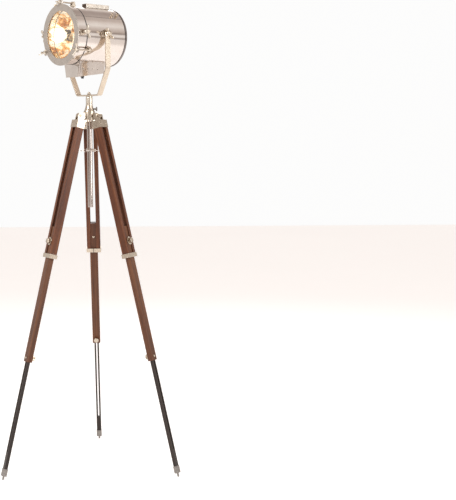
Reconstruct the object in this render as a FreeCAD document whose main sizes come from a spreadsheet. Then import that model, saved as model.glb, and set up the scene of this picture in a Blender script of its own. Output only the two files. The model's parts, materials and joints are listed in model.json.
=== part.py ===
import FreeCAD, Part
import math
import os
import re
import Sketcher
from FreeCAD import Placement, Rotation, Vector

os.makedirs("parts", exist_ok=True)

# A searchlight floor lamp on a telescopic wooden tripod.  Millimetres and degrees.
# The floor is Z = 0, the column stands on the Z axis and the back leg points to +Y.
# Leg frame: origin at the leg's pivot, Z up along the leg, Y outwards, X across the leg.
# Lamp frame: origin at the tilt pivot, X forwards along the beam, Y to the lamp's left, Z up.
# Drum frame: as the lamp frame, with its origin at the centre of the front ring's face.

SIZES = {
    # clearances
    "running_gap": 0.08,
    "slide_gap": 0.3,
    "seat_gap": 0.3,
    # tripod stance
    "foot_radius": 377,
    "pivot_radius": 40,
    "pivot_height": 1349,
    # upper leg stage: two grooved wooden slats in a cap and a collar
    "slat_width": 15,
    "slat_thickness": 28,
    "slot_width": 22,
    "groove_depth": 4.3,
    "slat_top": 22,
    "upper_length": 548,
    "cap_wall": 1.5,
    "cap_depth": 25,
    "cap_plate": 4,
    "ear_thickness": 5,
    "ear_radius": 11,
    "collar_height": 16,
    "collar_wall": 2.5,
    # middle and lower leg stages
    "slat_cheek": 3.3,
    "middle_length": 516,
    "middle_overlap": 120,
    "channel_side": 5.7,
    "channel_cheek": 3.8,
    "lower_overlap": 80,
    "lower_travel": 280,
    "channel_spare": 12,
    "lower_slot_width": 5.6,
    "lower_slot_margin": 16,
    "lower_solid_end": 88,
    "ferrule_length": 24,
    "ferrule_floor": 3,
    "ferrule_wall": 1.2,
    "peg_radius": 4.2,
    "peg_length": 14,
    "peg_tip_radius": 3,
    # leg clamp knobs
    "knob_radius": 10,
    "knob_length": 13,
    "clamp_bolt_radius": 2.5,
    "clamp_flange_radius": 15,
    "clamp_flange": 2,
    "clamp_nut_radius": 4.5,
    "clamp_nut_height": 3,
    "upper_clamp_rise": 63,
    "lower_clamp_rise": 16,
    # leg pivots
    "leg_bolt_radius": 4,
    "leg_bolt_head_radius": 6.5,
    "leg_bolt_head": 4,
    # hub and column
    "lug_thickness": 14,
    "hub_wall": 12,
    "hub_below": 15,
    "hub_above": 15,
    "neck_top_wall": 3.5,
    "neck_waist_wall": 6.5,
    "neck_waist_height": 10.35,
    "neck_height": 23,
    "tube_radius": 10,
    "tube_wall": 1.5,
    "tube_drop": 346,
    "socket_wall": 3,
    "socket_height": 35.7,
    "socket_crown": 12,
    "column_screw_radius": 3,
    "column_screw_drop": 12,
    "column_screw_reach": 25,
    "column_screw_head_radius": 8,
    "column_screw_head": 5,
    # chain
    "chain_drop": 129,
    "chain_wire": 1.2,
    "chain_play": 0.8,
    "chain_link_width": 11.6,
    "chain_links": 3,
    "eye_radius": 5,
    "eye_hole_radius": 3,
    "eye_root": 1,
    "eye_plate_width": 36,
    "eye_plate_height": 10,
    "eye_plate_thickness": 2,
    # yoke
    "yoke_drop": 225,
    "yoke_clearance": 11,
    "yoke_knee_drop": 126,
    "yoke_foot_half": 65,
    "strap_thickness": 5,
    "strap_width": 22,
    "yoke_bolt_radius": 5,
    "yoke_nut_radius": 8,
    "yoke_nut_height": 5,
    "yoke_cap_radius": 5,
    "yoke_cap_height": 3,
    # lamp head
    "aim_angle": -140.35,
    "ring_reach": 126,
    "pivot_rise": 4,
    "ring_overhang": 6,
    "opening_inset": 19.5,
    "ring_thickness": 4,
    "rim_length": 39,
    "glass_inset": 14,
    "glass_gap": 0.1,
    "glass_thickness": 4,
    "lip_inset": 18.5,
    "lip_thickness": 2,
    "gasket_thickness": 3,
    "gasket_rise": 0.6,
    "gasket_depth": 6,
    "drum_radius": 106.5,
    "drum_wall": 1.5,
    "drum_length": 172,
    "back_length": 11,
    "back_plate": 1.5,
    "back_bead_rise": 1.5,
    "back_bead_length": 8,
    "back_bead_setback": 1.5,
    "back_hole_inset": 12,
    "blade_pitch": 31,
    "blade_depth": 12,
    "blade_thickness": 1.2,
    "blade_setback": 14,
    "mirror_flange": 9,
    "mirror_depth": 56,
    "mirror_wall": 1.2,
    "mirror_from_back": 88,
    "mirror_hole_gap": 1,
    "bulb_radius": 30,
    "bulb_behind_rim": 2,
    "bulb_neck_radius": 13,
    "bulb_neck_length": 36,
    "holder_radius": 20,
    "holder_foot": 24,
    "holder_foot_inset": 5,
    # front clamps: swing bolts held by wing nuts in slotted lugs
    "clamp_rise": 12.5,
    "ring_lug_width": 20,
    "ring_lug_thickness": 7,
    "ring_lug_rise": 7,
    "swing_bolt_radius": 3,
    "swing_bolt_nose": 18,
    "swing_eye_radius": 6,
    "swing_eye_width": 7,
    "swing_pin_radius": 2.5,
    "swing_pin_offset": 11,
    "swing_pin_end": 1.5,
    "clamp_ear_thickness": 4,
    "clamp_base_length": 18,
    "clamp_base_height": 5,
    "clamp_nut_gap": 0.6,
    # wing nuts
    "wing_thickness": 4,
    "wing_tip_radius": 5,
    "wing_root": 3,
    "small_wing_span": 48,
    "small_wing_height": 14,
    "small_wing_hub_radius": 6.5,
    "small_wing_hub": 9,
    "large_wing_span": 49,
    "large_wing_height": 15,
    "large_wing_hub_radius": 9,
    "large_wing_hub": 12,
    # side studs on the front rim
    "side_setback": 22,
    "side_base_radius": 12,
    "side_base_rise": 5.5,
    "side_barrel_radius": 9.5,
    "side_barrel_rise": 29.5,
    "side_stud_radius": 4,
    "stud_end": 4,
    # tilt pivot
    "pivot_disc_radius": 16.5,
    "pivot_stud_radius": 5,
    "pivot_washer_radius": 14,
    "pivot_washer": 3,
    # base box under the drum
    "box_offset": 1.5,
    "box_length": 120,
    "box_top_half": 50,
    "box_bottom_half": 36,
    "box_depth": 47,
    "box_lift": 17,
    "box_wall": 1.5,
    "box_root": 8,
    "gland_radius": 5,
    "gland_bore": 2.5,
    "gland_thread": 4,
    "gland_length": 9,
    "gland_nut_radius": 7.5,
    "gland_nut_height": 4,
    "gland_setback": 34,
    "gland_side": 20,
    # vent hood and terminals
    "hood_from_back": 4,
    "hood_length": 105,
    "hood_width": 28,
    "hood_rise": 15,
    "hood_wall": 1.5,
    "terminal_from_back": 40,
    "terminal_pitch": 21,
    "terminal_angle": 44,
    "terminal_shank_radius": 2.5,
    "terminal_head_radius": 5,
    "terminal_head": 6,
    "terminal_washer": 3,
    "terminal_washer_rim": 0.5,
    "terminal_rise": 14,
    # how deep roots run into what they join, and how far tools run past what they cut
    "root_depth": 6,
    "tool_reach": 60,
}

LEGS = {"back": 90, "left": 210, "right": 330}
CLAMPS = {"top": 90, "left": -30, "right": 210}
SIDES = {"left": 1, "right": -1}
# how far each wing nut stands turned from upright, or at a clamp from square to the radius
NUT_TURNS = {
    "clamp_nut_top": 35, "clamp_nut_left": 0, "clamp_nut_right": 80,
    "side_nut_left": 10, "side_nut_right": -15, "pivot_nut_left": 40, "pivot_nut_right": -30,
}

doc = FreeCAD.newDocument("TripodSearchlight")
sheet = doc.addObject("Spreadsheet::Sheet", "Sizes")
for row, (alias, value) in enumerate(SIZES.items(), start=1):
    sheet.set(f"A{row}", alias)
    sheet.set(f"B{row}", str(value))
    sheet.setAlias(f"B{row}", alias)
doc.recompute()

nodes = []


# ---------------------------------------------------------------- building blocks

TURNS = {
    "x": Rotation(Vector(0, 1, 0), 90),
    "-x": Rotation(Vector(0, 1, 0), -90),
    "y": Rotation(Vector(1, 0, 0), -90),
    "-y": Rotation(Vector(1, 0, 0), 90),
    "z": Rotation(),
    "-z": Rotation(Vector(1, 0, 0), 180),
}


def linked(expression):
    """Turn the names of sizes in an expression into references to the sheet."""
    def reference(word):
        return "Sizes." + word[0] if word[0] in SIZES else word[0]

    return re.sub(r"[a-z][a-z_]*", reference, expression)


def primitive(kind, at, turn, **links):
    """Part primitive with its sizes and its place bound to expressions."""
    item = doc.addObject(kind, kind.split("::")[1])
    item.Placement = Placement(Vector(), turn)
    for prop, expression in links.items():
        item.setExpression(prop, linked(expression))
    for letter, expression in zip("xyz", at):
        item.setExpression("Placement.Base." + letter, linked(expression))
    return item


def block(spans, centre):
    """Box of three spans about its centre."""
    corner = [f"{middle} - ({span}) / 2" for middle, span in zip(centre, spans)]
    return primitive("Part::Box", corner, TURNS["z"], Length=spans[0], Width=spans[1], Height=spans[2])


def rod(radius, length, start, along="z"):
    """Cylinder from its start point along an axis."""
    return primitive("Part::Cylinder", start, TURNS[along], Radius=radius, Height=length)


def cone(radius, end_radius, length, start, along="z"):
    """Cone from its start point along an axis."""
    return primitive("Part::Cone", start, TURNS[along], Radius1=radius, Radius2=end_radius, Height=length)


def ball(radius, centre):
    return primitive("Part::Sphere", centre, TURNS["z"], Radius=radius)


def fuse(*items):
    item = doc.addObject("Part::MultiFuse", "Fusion")
    item.Shapes = list(items)
    return item


def cut(base, *tools):
    item = doc.addObject("Part::Cut", "Cut")
    item.Base = base
    item.Tool = tools[0] if len(tools) == 1 else fuse(*tools)
    return item


def common(*items):
    item = doc.addObject("Part::MultiCommon", "Common")
    item.Shapes = list(items)
    return item


def group(*items):
    item = doc.addObject("Part::Compound", "Group")
    item.Links = list(items)
    return item


def turned_copy(item, angle, axis=Vector(0, 0, 1)):
    """The same solid once more, turned about an axis through the frame's origin."""
    link = doc.addObject("Part::Compound", "Copy")
    link.Links = [item]
    link.Placement = Placement(Vector(), Rotation(axis, angle))
    return link


def turned(profile):
    """PartDesign body turned about Z from a closed profile of (radius, height) expressions."""
    body = doc.addObject("PartDesign::Body", "Turned")
    sketch = body.newObject("Sketcher::SketchObject", "Profile")
    plane = [feature for feature in body.Origin.OriginFeatures if feature.Role == "XZ_Plane"][0]
    sketch.AttachmentSupport = [(plane, "")]
    sketch.MapMode = "FlatFace"
    count = len(profile)
    for index in range(count):
        start = Vector(10 + index, 10 + index * index, 0)
        end = Vector(11 + index, 10 + (index + 1) ** 2, 0)
        sketch.addGeometry(Part.LineSegment(start, end), False)
    for index in range(count):
        sketch.addConstraint(Sketcher.Constraint("Coincident", index, 2, (index + 1) % count, 1))
    for index, pair in enumerate(profile):
        for kind, axis_line, expression in (("DistanceX", -2, pair[0]), ("DistanceY", -1, pair[1])):
            if expression == "0":
                sketch.addConstraint(Sketcher.Constraint("PointOnObject", index, 1, axis_line))
                continue
            number = sketch.addConstraint(Sketcher.Constraint(kind, -1, 1, index, 1, 10.0))
            sketch.setExpression(f"Constraints[{number}]", linked(expression))
    revolution = body.newObject("PartDesign::Revolution", "Revolution")
    revolution.Profile = sketch
    revolution.ReferenceAxis = (sketch, ["V_Axis"])
    revolution.Angle = 360
    body.Tip = revolution
    return body


def node(item, label, frame):
    """Name a finished sub-part and put it in its frame."""
    if item.TypeId in ("Part::Cylinder", "Part::Box", "PartDesign::Body"):
        item = group(item)
    item.Label = label
    item.Placement = frame
    nodes.append(item)
    return item


# ---------------------------------------------------------------- frames

def across(radius, angle, height=0):
    """Point at a radius and an angle about the Z axis."""
    return Vector(radius * math.cos(math.radians(angle)), radius * math.sin(math.radians(angle)), height)


clamp_circle = SIZES["drum_radius"] + SIZES["clamp_rise"]
yoke_half = SIZES["drum_radius"] + SIZES["yoke_clearance"]
barrel_reach = SIZES["drum_radius"] + SIZES["side_barrel_rise"]
box_setback = SIZES["ring_thickness"] + SIZES["rim_length"] + SIZES["gasket_thickness"] + SIZES["box_offset"]
leg_run = SIZES["foot_radius"] - SIZES["pivot_radius"]
leg_lean = math.degrees(math.atan2(leg_run, SIZES["pivot_height"]))
leg_reach = math.hypot(leg_run, SIZES["pivot_height"])
LEG_REACH = "sqrt((foot_radius - pivot_radius) ^ 2 + pivot_height ^ 2)"

floor_frame = Placement()
hub_top = SIZES["pivot_height"] + SIZES["hub_above"] + SIZES["neck_height"]
yoke_foot_height = hub_top + SIZES["seat_gap"] + SIZES["socket_height"] + SIZES["seat_gap"]
lamp_frame = Placement(
    Vector(0, 0, yoke_foot_height + SIZES["yoke_drop"]),
    Rotation(Vector(0, 0, 1), SIZES["aim_angle"]),
)
drum_frame = lamp_frame.multiply(
    Placement(Vector(SIZES["ring_reach"], 0, -SIZES["pivot_rise"]), Rotation())
)


def leg_frame(angle):
    turn = Rotation(Vector(0, 0, 1), angle - 90).multiply(Rotation(Vector(1, 0, 0), leg_lean))
    return Placement(across(SIZES["pivot_radius"], angle, SIZES["pivot_height"]), turn)


def clock_frame(angle):
    """Drum frame turned about the beam, so that its Y axis points outwards at the angle."""
    return drum_frame.multiply(Placement(Vector(), Rotation(Vector(1, 0, 0), angle)))


# ---------------------------------------------------------------- upper leg stage

UPPER_WIDTH = "(slot_width + 2 * slat_width)"
EYE_CENTRE = "-(slat_thickness / 2 + eye_plate_thickness + eye_radius - eye_root)"
MIDDLE_WIDTH = "(slot_width + 2 * groove_depth - 2 * slide_gap)"
MIDDLE_THICKNESS = "(slat_thickness - 2 * slat_cheek - 2 * slide_gap)"
LOWER_WIDTH = f"({MIDDLE_WIDTH} - 2 * channel_side - 2 * slide_gap)"
LOWER_THICKNESS = f"({MIDDLE_THICKNESS} - 2 * channel_cheek - 2 * slide_gap)"
MIDDLE_TOP = "(upper_length - middle_overlap)"
MIDDLE_END = f"({MIDDLE_TOP} + middle_length)"
UPPER_CLAMP = "(upper_length - upper_clamp_rise)"
LOWER_CLAMP = f"({MIDDLE_END} - lower_clamp_rise)"
LOWER_TOP = f"({MIDDLE_END} - lower_overlap)"
LOWER_END = f"({LEG_REACH} - peg_length - ferrule_floor)"


def slats(name, frame):
    """Two wooden slats side by side, each with a groove that guides the middle stage."""
    length = "upper_length - slat_top"
    centre = "-(upper_length + slat_top) / 2"
    sides = []
    for sign in ("-1", "1"):
        offset = f"{sign} * (slot_width + slat_width) / 2"
        slat = block(("slat_width", "slat_thickness", length), (offset, "0", centre))
        groove = block(
            ("slot_width + 2 * groove_depth", f"{MIDDLE_THICKNESS} + 2 * slide_gap",
             "upper_length + tool_reach"),
            ("0", "0", "-upper_length / 2"),
        )
        sides.append(cut(slat, groove))
    node(group(*sides), f"slats_{name}", frame)


def leg_fittings(name, frame):
    """Metal cap with two pivot ears on the slats' top, and the collar at their lower end."""
    wide = f"{UPPER_WIDTH} + 2 * cap_wall"
    deep = "slat_thickness + 2 * cap_wall"
    tall = "cap_depth + cap_plate"
    cap = block((wide, deep, tall), ("0", "0", "-slat_top + cap_plate - (cap_depth + cap_plate) / 2"))
    hollow = block(
        (UPPER_WIDTH, "slat_thickness", "cap_depth + 1"),
        ("0", "0", "-slat_top - (cap_depth + 1) / 2"),
    )
    ears = []
    for sign in ("-1", "1"):
        middle = f"{sign} * (lug_thickness / 2 + seat_gap + ear_thickness / 2)"
        start = f"{middle} - ear_thickness / 2"
        ears.append(block(
            ("ear_thickness", "2 * ear_radius", "slat_top - cap_plate"),
            (middle, "0", "-(slat_top - cap_plate) / 2"),
        ))
        ears.append(rod("ear_radius", "ear_thickness", (start, "0", "0"), "x"))
    bore = rod("leg_bolt_radius + running_gap", "2 * tool_reach", ("-tool_reach", "0", "0"), "x")
    bracket = cut(fuse(cut(cap, hollow), *ears), bore)
    collar_centre = ("0", "0", "-upper_length + collar_height / 2")
    collar = cut(
        block((f"{UPPER_WIDTH} + 2 * collar_wall", "slat_thickness + 2 * collar_wall", "collar_height"),
              collar_centre),
        block((UPPER_WIDTH, "slat_thickness", "collar_height + 2"), collar_centre),
    )
    plate_face = "-(slat_thickness / 2 + eye_plate_thickness)"
    plate = block(
        ("eye_plate_width", "eye_plate_thickness", "eye_plate_height"),
        ("0", f"{plate_face} + eye_plate_thickness / 2", "-chain_drop"),
    )
    eye = cut(
        rod("eye_radius", "2 * chain_wire", ("0", EYE_CENTRE, "-chain_drop - chain_wire")),
        rod("eye_hole_radius", "tool_reach", ("0", EYE_CENTRE, "-chain_drop - tool_reach / 2")),
    )
    eye_plate = fuse(plate, eye)
    node(group(bracket, collar, eye_plate), f"leg_fittings_{name}", frame)


# ---------------------------------------------------------------- middle and lower leg stages

def middle_stage(name, frame):
    """Wooden bar with a channel for the lower stage and bores for both clamp bolts."""
    bar = block(
        (MIDDLE_WIDTH, MIDDLE_THICKNESS, "middle_length"),
        ("0", "0", f"-{MIDDLE_TOP} - middle_length / 2"),
    )
    channel_length = "(lower_overlap + lower_travel + channel_spare)"
    channel = block(
        (f"{LOWER_WIDTH} + 2 * slide_gap", f"{LOWER_THICKNESS} + 2 * slide_gap", f"{channel_length} + 1"),
        ("0", "0", f"-{MIDDLE_END} + ({channel_length} - 1) / 2"),
    )
    bores = []
    for height in (UPPER_CLAMP, LOWER_CLAMP):
        start = ("0", "-tool_reach", f"-{height}")
        bores.append(rod("clamp_bolt_radius + running_gap", "2 * tool_reach", start, "y"))
    node(cut(bar, channel, *bores), f"middle_stage_{name}", frame)


def lower_stage(name, frame):
    """Dark wooden bar with a long slot for the lower clamp bolt."""
    length = f"({LOWER_END} - {LOWER_TOP})"
    bar = block((LOWER_WIDTH, LOWER_THICKNESS, length), ("0", "0", f"-{LOWER_TOP} - {length} / 2"))
    slot_length = f"({length} - lower_slot_margin - lower_solid_end)"
    slot = block(
        ("lower_slot_width", "tool_reach", slot_length),
        ("0", "0", f"-{LOWER_TOP} - lower_slot_margin - {slot_length} / 2"),
    )
    node(cut(bar, slot), f"lower_stage_{name}", frame)


def foot(name, frame):
    """Metal ferrule on the lower stage with a short peg whose blunt tip lies flat on the floor."""
    shell = block(
        (f"{LOWER_WIDTH} + 2 * ferrule_wall", f"{LOWER_THICKNESS} + 2 * ferrule_wall",
         "ferrule_length + ferrule_floor"),
        ("0", "0", f"-{LOWER_END} + (ferrule_length - ferrule_floor) / 2"),
    )
    seat = block(
        (LOWER_WIDTH, LOWER_THICKNESS, "ferrule_length + 1"),
        ("0", "0", f"-{LOWER_END} + (ferrule_length + 1) / 2"),
    )
    peg_top = ("0", "0", f"-{LOWER_END} - ferrule_floor / 2")
    peg = cone("peg_radius", "peg_tip_radius", "peg_length + ferrule_floor", peg_top, "-z")
    floor = primitive(
        "Part::Box", ("-tool_reach", f"-tool_reach * cos({leg_lean}) - tool_reach * sin({leg_lean})",
                      f"-{LEG_REACH} + tool_reach * sin({leg_lean}) - tool_reach * cos({leg_lean})"),
        Rotation(Vector(1, 0, 0), -leg_lean),
        Length="2 * tool_reach", Width="2 * tool_reach", Height="tool_reach",
    )
    node(cut(fuse(cut(shell, seat), peg), floor), f"foot_{name}", frame)


def clamp_screw(label, frame, height, outwards, flange, reach, nut_reach):
    """Knurled clamp knob with its bolt through the leg and a nut on the far side."""
    along = "y" if outwards else "-y"
    side = "" if outwards else "-"
    far_side = "-" if outwards else ""
    head_start = f"{side}({reach} + seat_gap)"
    pieces = [
        rod("knob_radius", "knob_length", ("0", head_start, f"-{height}"), along),
        rod("clamp_bolt_radius", f"{reach} + {nut_reach} + seat_gap + 3",
            ("0", f"{far_side}({nut_reach} + seat_gap + 2)", f"-{height}"), along),
        rod("clamp_nut_radius", "clamp_nut_height",
            ("0", f"{far_side}({nut_reach} + seat_gap + clamp_nut_height)", f"-{height}"), along),
    ]
    if flange:
        pieces.append(rod("clamp_flange_radius", "clamp_flange", ("0", head_start, f"-{height}"), along))
    node(fuse(*pieces), label, frame)


def leg_chain(name, frame):
    """Arm of three chain links, tight between the ring round the tube and the leg's eye."""
    inner_end = "(tube_radius + seat_gap)"
    outer_end = (f"(pivot_radius + {EYE_CENTRE} * cos({leg_lean}) + chain_drop * sin({leg_lean})"
                 " - eye_hole_radius + 2 * chain_wire + chain_play)")
    hooked = "(4 * chain_wire + chain_play)"
    link_length = f"(({outer_end} - {inner_end} + (chain_links - 1) * {hooked}) / chain_links)"
    half = f"({link_length} - chain_link_width) / 2"
    bend = "(chain_link_width / 2 - chain_wire)"
    links = []
    for index in range(SIZES["chain_links"]):
        sides = []
        for side, angle in (("", 0), ("-", 180)):
            turn = Rotation(Vector(0, 0, 1), angle)
            bow = primitive("Part::Torus", ("0", f"{side}{half}", "0"), turn,
                            Radius1=bend, Radius2="chain_wire", Angle3="180")
            sides.append(bow)
            sides.append(rod("chain_wire", f"2 * {half}", (f"{side}{bend}", f"-{half}", "0"), "y"))
        link = fuse(*sides)
        if index % 2 == 0:
            link = turned_copy(link, 90, Vector(0, 1, 0))
        moved = group(link)
        middle = f"{inner_end} + {link_length} / 2 + {index} * ({link_length} - {hooked})"
        moved.setExpression("Placement.Base.y", linked(middle))
        links.append(moved)
    node(group(*links), f"chain_{name}", frame)


# ---------------------------------------------------------------- hub and column

def hub():
    """Cast hub with a conical neck, three pivot lugs and the column's bore."""
    core = turned([
        ("0", "pivot_height - hub_below"),
        ("tube_radius + hub_wall", "pivot_height - hub_below"),
        ("tube_radius + hub_wall", "pivot_height + hub_above"),
        ("tube_radius + neck_waist_wall", "pivot_height + hub_above + neck_waist_height"),
        ("tube_radius + neck_top_wall", "pivot_height + hub_above + neck_height"),
        ("0", "pivot_height + hub_above + neck_height"),
    ])
    lugs = []
    for angle in LEGS.values():
        arm = block(("pivot_radius", "lug_thickness", "2 * ear_radius"),
                    ("pivot_radius / 2", "0", "pivot_height"))
        end = rod("ear_radius", "lug_thickness", ("pivot_radius", "-lug_thickness / 2", "pivot_height"), "y")
        hole = rod("leg_bolt_radius", "tool_reach", ("pivot_radius", "-tool_reach / 2", "pivot_height"), "y")
        lugs.append(turned_copy(cut(fuse(arm, end), hole), angle))
    bore = rod("tube_radius + running_gap", "2 * tool_reach", ("0", "0", "pivot_height - tool_reach"))
    screw_hole = rod("column_screw_radius + running_gap", "tool_reach",
                     ("0", "0", "pivot_height + hub_above + neck_height - column_screw_drop"), "x")
    node(cut(fuse(core, *lugs), bore, screw_hole), "hub", floor_frame)


def leg_bolts():
    """Three pivot bolts through the hub's lugs and the caps' ears."""
    bolts = []
    for angle in LEGS.values():
        half = "(lug_thickness / 2 + ear_thickness + 2 * seat_gap)"
        shank = rod("leg_bolt_radius", f"2 * {half}", ("pivot_radius", f"-{half}", "pivot_height"), "y")
        head = rod("leg_bolt_head_radius", "leg_bolt_head", ("pivot_radius", half, "pivot_height"), "y")
        nut_place = ("pivot_radius", f"-{half}", "pivot_height")
        nut = rod("leg_bolt_head_radius", "leg_bolt_head", nut_place, "-y")
        bolts.append(turned_copy(fuse(shank, head, nut), angle))
    node(group(*bolts), "leg_bolts", floor_frame)


def column():
    """Chromed tube that slides in the hub, with the yoke's socket on its top."""
    start = "(pivot_height + hub_above + neck_height + seat_gap)"
    crown = f"({start} + socket_height - socket_crown)"
    bottom = "(pivot_height - tube_drop)"
    tube = cut(
        rod("tube_radius", f"{crown} - {bottom}", ("0", "0", bottom)),
        rod("tube_radius - tube_wall", f"{crown} - {bottom}", ("0", "0", f"{bottom} - 2 * tube_wall")),
    )
    node(tube, "column_tube", floor_frame)
    socket = cut(
        rod("tube_radius + socket_wall", "socket_height", ("0", "0", start)),
        rod("tube_radius", "socket_height - socket_crown + 1", ("0", "0", f"{start} - 1")),
        rod("yoke_bolt_radius", "socket_crown + 2", ("0", "0", f"{crown} - 1")),
    )
    node(socket, "yoke_socket", floor_frame)
    foot_level = f"({start} + socket_height + seat_gap)"
    above = f"({foot_level} + strap_thickness + seat_gap)"
    bolt = fuse(
        rod("yoke_bolt_radius", f"{above} + yoke_nut_height - {crown}", ("0", "0", crown)),
        rod("yoke_nut_radius", "yoke_nut_height", ("0", "0", above)),
        ball("yoke_cap_radius", ("0", "0", f"{above} + yoke_nut_height + yoke_cap_height / 2")),
    )
    node(bolt, "yoke_bolt", floor_frame)


def column_screw():
    """Thumb screw in the hub's neck that clamps the column tube."""
    height = "pivot_height + hub_above + neck_height - column_screw_drop"
    start = "tube_radius + seat_gap"
    shank = rod("column_screw_radius", f"column_screw_reach - ({start})", (start, "0", height), "x")
    head = rod("column_screw_head_radius", "column_screw_head", ("column_screw_reach", "0", height), "x")
    node(fuse(shank, head), "column_screw", floor_frame)


def chain_ring():
    """Ring round the tube that the three chain arms hang in."""
    height = f"(pivot_height + {EYE_CENTRE} * sin({leg_lean}) - chain_drop * cos({leg_lean}))"
    ring = primitive("Part::Torus", ("0", "0", height), TURNS["z"],
                     Radius1="tube_radius + 3 * chain_wire + 2 * seat_gap", Radius2="chain_wire")
    node(group(ring), "chain_ring", floor_frame)


# ---------------------------------------------------------------- yoke

def offset_line(points, distance):
    """Mitred parallel of an open line of points in the YZ plane."""
    result = []
    for index, point in enumerate(points):
        normals = []
        for first, second in ((index - 1, index), (index, index + 1)):
            if 0 <= first and second < len(points):
                step = (points[second] - points[first]).normalize()
                normals.append(Vector(0, -step.z, step.y))
        if len(normals) == 1:
            result.append(point + normals[0] * distance)
            continue
        mitre = (normals[0] + normals[1]).normalize()
        result.append(point + mitre * (distance / mitre.dot(normals[0])))
    return result


def yoke():
    """Flat strap bent to a U, drilled for the tilt pivots and for the centre bolt."""
    half = yoke_half
    thickness = SIZES["strap_thickness"]
    width = SIZES["strap_width"]
    foot_inside = -SIZES["yoke_drop"] + thickness
    inside = [
        Vector(0, half, 0),
        Vector(0, half, -SIZES["yoke_knee_drop"]),
        Vector(0, SIZES["yoke_foot_half"], foot_inside),
        Vector(0, -SIZES["yoke_foot_half"], foot_inside),
        Vector(0, -half, -SIZES["yoke_knee_drop"]),
        Vector(0, -half, 0),
    ]
    outside = offset_line(inside, thickness)
    outline = Part.makePolygon(inside + outside[::-1] + inside[:1])
    strap = Part.Face(outline).extrude(Vector(width, 0, 0))
    strap.translate(Vector(-width / 2, 0, 0))
    radius = width / 2
    for sign in (1, -1):
        start = Vector(0, sign * half, 0)
        strap = strap.fuse(Part.makeCylinder(radius, thickness, start, Vector(0, sign, 0)))
    reach = half + 2 * thickness
    pivot_hole = SIZES["pivot_stud_radius"] + SIZES["running_gap"]
    strap = strap.cut(Part.makeCylinder(pivot_hole, 2 * reach, Vector(0, -reach, 0), Vector(0, 1, 0)))
    centre_hole = SIZES["yoke_bolt_radius"] + SIZES["running_gap"]
    low = Vector(0, 0, -SIZES["yoke_drop"] - thickness)
    strap = strap.cut(Part.makeCylinder(centre_hole, 3 * thickness, low))
    item = doc.addObject("Part::Feature", "Yoke")
    item.Shape = strap.removeSplitter()
    item.Label = "yoke"
    item.Placement = lamp_frame
    nodes.append(item)


# ---------------------------------------------------------------- lamp head shells

RIM_START = "ring_thickness"
GASKET_START = "(ring_thickness + rim_length)"
DRUM_START = "(ring_thickness + rim_length + gasket_thickness)"
DRUM_END = f"({DRUM_START} + drum_length)"
PIN_SETBACK = f"({DRUM_START} + swing_pin_offset)"
BOX_SETBACK = f"({DRUM_START} + box_offset)"
MIRROR_SETBACK = f"({DRUM_END} - mirror_from_back)"
BULB_SETBACK = f"({MIRROR_SETBACK} + bulb_behind_rim)"
BACK_INSIDE = f"({DRUM_END} + back_length - back_plate)"
INNER_RADIUS = "(drum_radius - drum_wall)"
MIRROR_RIM = f"({INNER_RADIUS} - mirror_flange)"
MIRROR_RADIUS = f"(({MIRROR_RIM} ^ 2 + mirror_depth ^ 2) / (2 * mirror_depth))"
CLAMP_CIRCLE = "(drum_radius + clamp_rise)"
YOKE_HALF = "(drum_radius + yoke_clearance)"
SKIN = "(drum_radius - drum_wall / 3)"


def tube(outer, inner, start, length):
    """Tube along the beam, from its setback behind the ring's face."""
    return cut(
        rod(outer, length, (f"-{start}", "0", "0"), "-x"),
        rod(inner, f"{length} + 2", (f"-{start} + 1", "0", "0"), "-x"),
    )


def front_ring():
    """Flat front ring with three slotted lugs for the swing bolts."""
    ring = tube("drum_radius + ring_overhang", "drum_radius - opening_inset", "0", "ring_thickness")
    lugs = []
    slots = []
    for angle in CLAMPS.values():
        height = "(clamp_rise + ring_lug_rise - seat_gap)"
        lug = block(("ring_lug_thickness", height, "ring_lug_width"),
                    ("-ring_lug_thickness / 2", f"drum_radius + seat_gap + {height} / 2", "0"))
        slot = block(("ring_lug_thickness + 2", "tool_reach", "2 * swing_bolt_radius + 2 * seat_gap"),
                     ("-ring_lug_thickness / 2",
                      f"{CLAMP_CIRCLE} - swing_bolt_radius - seat_gap + tool_reach / 2", "0"))
        lugs.append(turned_copy(lug, angle, Vector(1, 0, 0)))
        slots.append(turned_copy(slot, angle, Vector(1, 0, 0)))
    node(cut(fuse(ring, *lugs), *slots), "front_ring", drum_frame)


def front_rim():
    """Front section of the casing with the recess and the lip that hold the glass."""
    shell = tube("drum_radius", INNER_RADIUS, RIM_START, "rim_length")
    recess = "glass_thickness + 2 * glass_gap"
    front = tube(SKIN, "drum_radius - glass_inset + glass_gap", RIM_START, recess)
    lip = tube(SKIN, "drum_radius - lip_inset", f"({RIM_START} + {recess})", "lip_thickness")
    node(fuse(shell, front, lip), "front_rim", drum_frame)


def shells():
    """Glass, gasket and main drum."""
    glass = rod("drum_radius - glass_inset", "glass_thickness", (f"-{RIM_START}", "0", "0"), "-x")
    node(group(glass), "front_glass", drum_frame)
    gasket = tube("drum_radius + gasket_rise", f"{INNER_RADIUS} - gasket_depth", GASKET_START,
                  "gasket_thickness")
    node(gasket, "gasket", drum_frame)
    drum = tube("drum_radius", INNER_RADIUS, DRUM_START, "drum_length")
    holes = []
    for index in range(2):
        holes.append(turned_copy(terminal_hole(index), SIZES["terminal_angle"], Vector(1, 0, 0)))
    node(cut(drum, *holes), "drum", drum_frame)


def terminal_place(index):
    return f"-({DRUM_END} - terminal_from_back + {index} * terminal_pitch)"


def terminal_hole(index):
    return rod("terminal_shank_radius + running_gap", "2 * root_depth",
               (terminal_place(index), "drum_radius - root_depth", "0"), "y")


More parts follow.
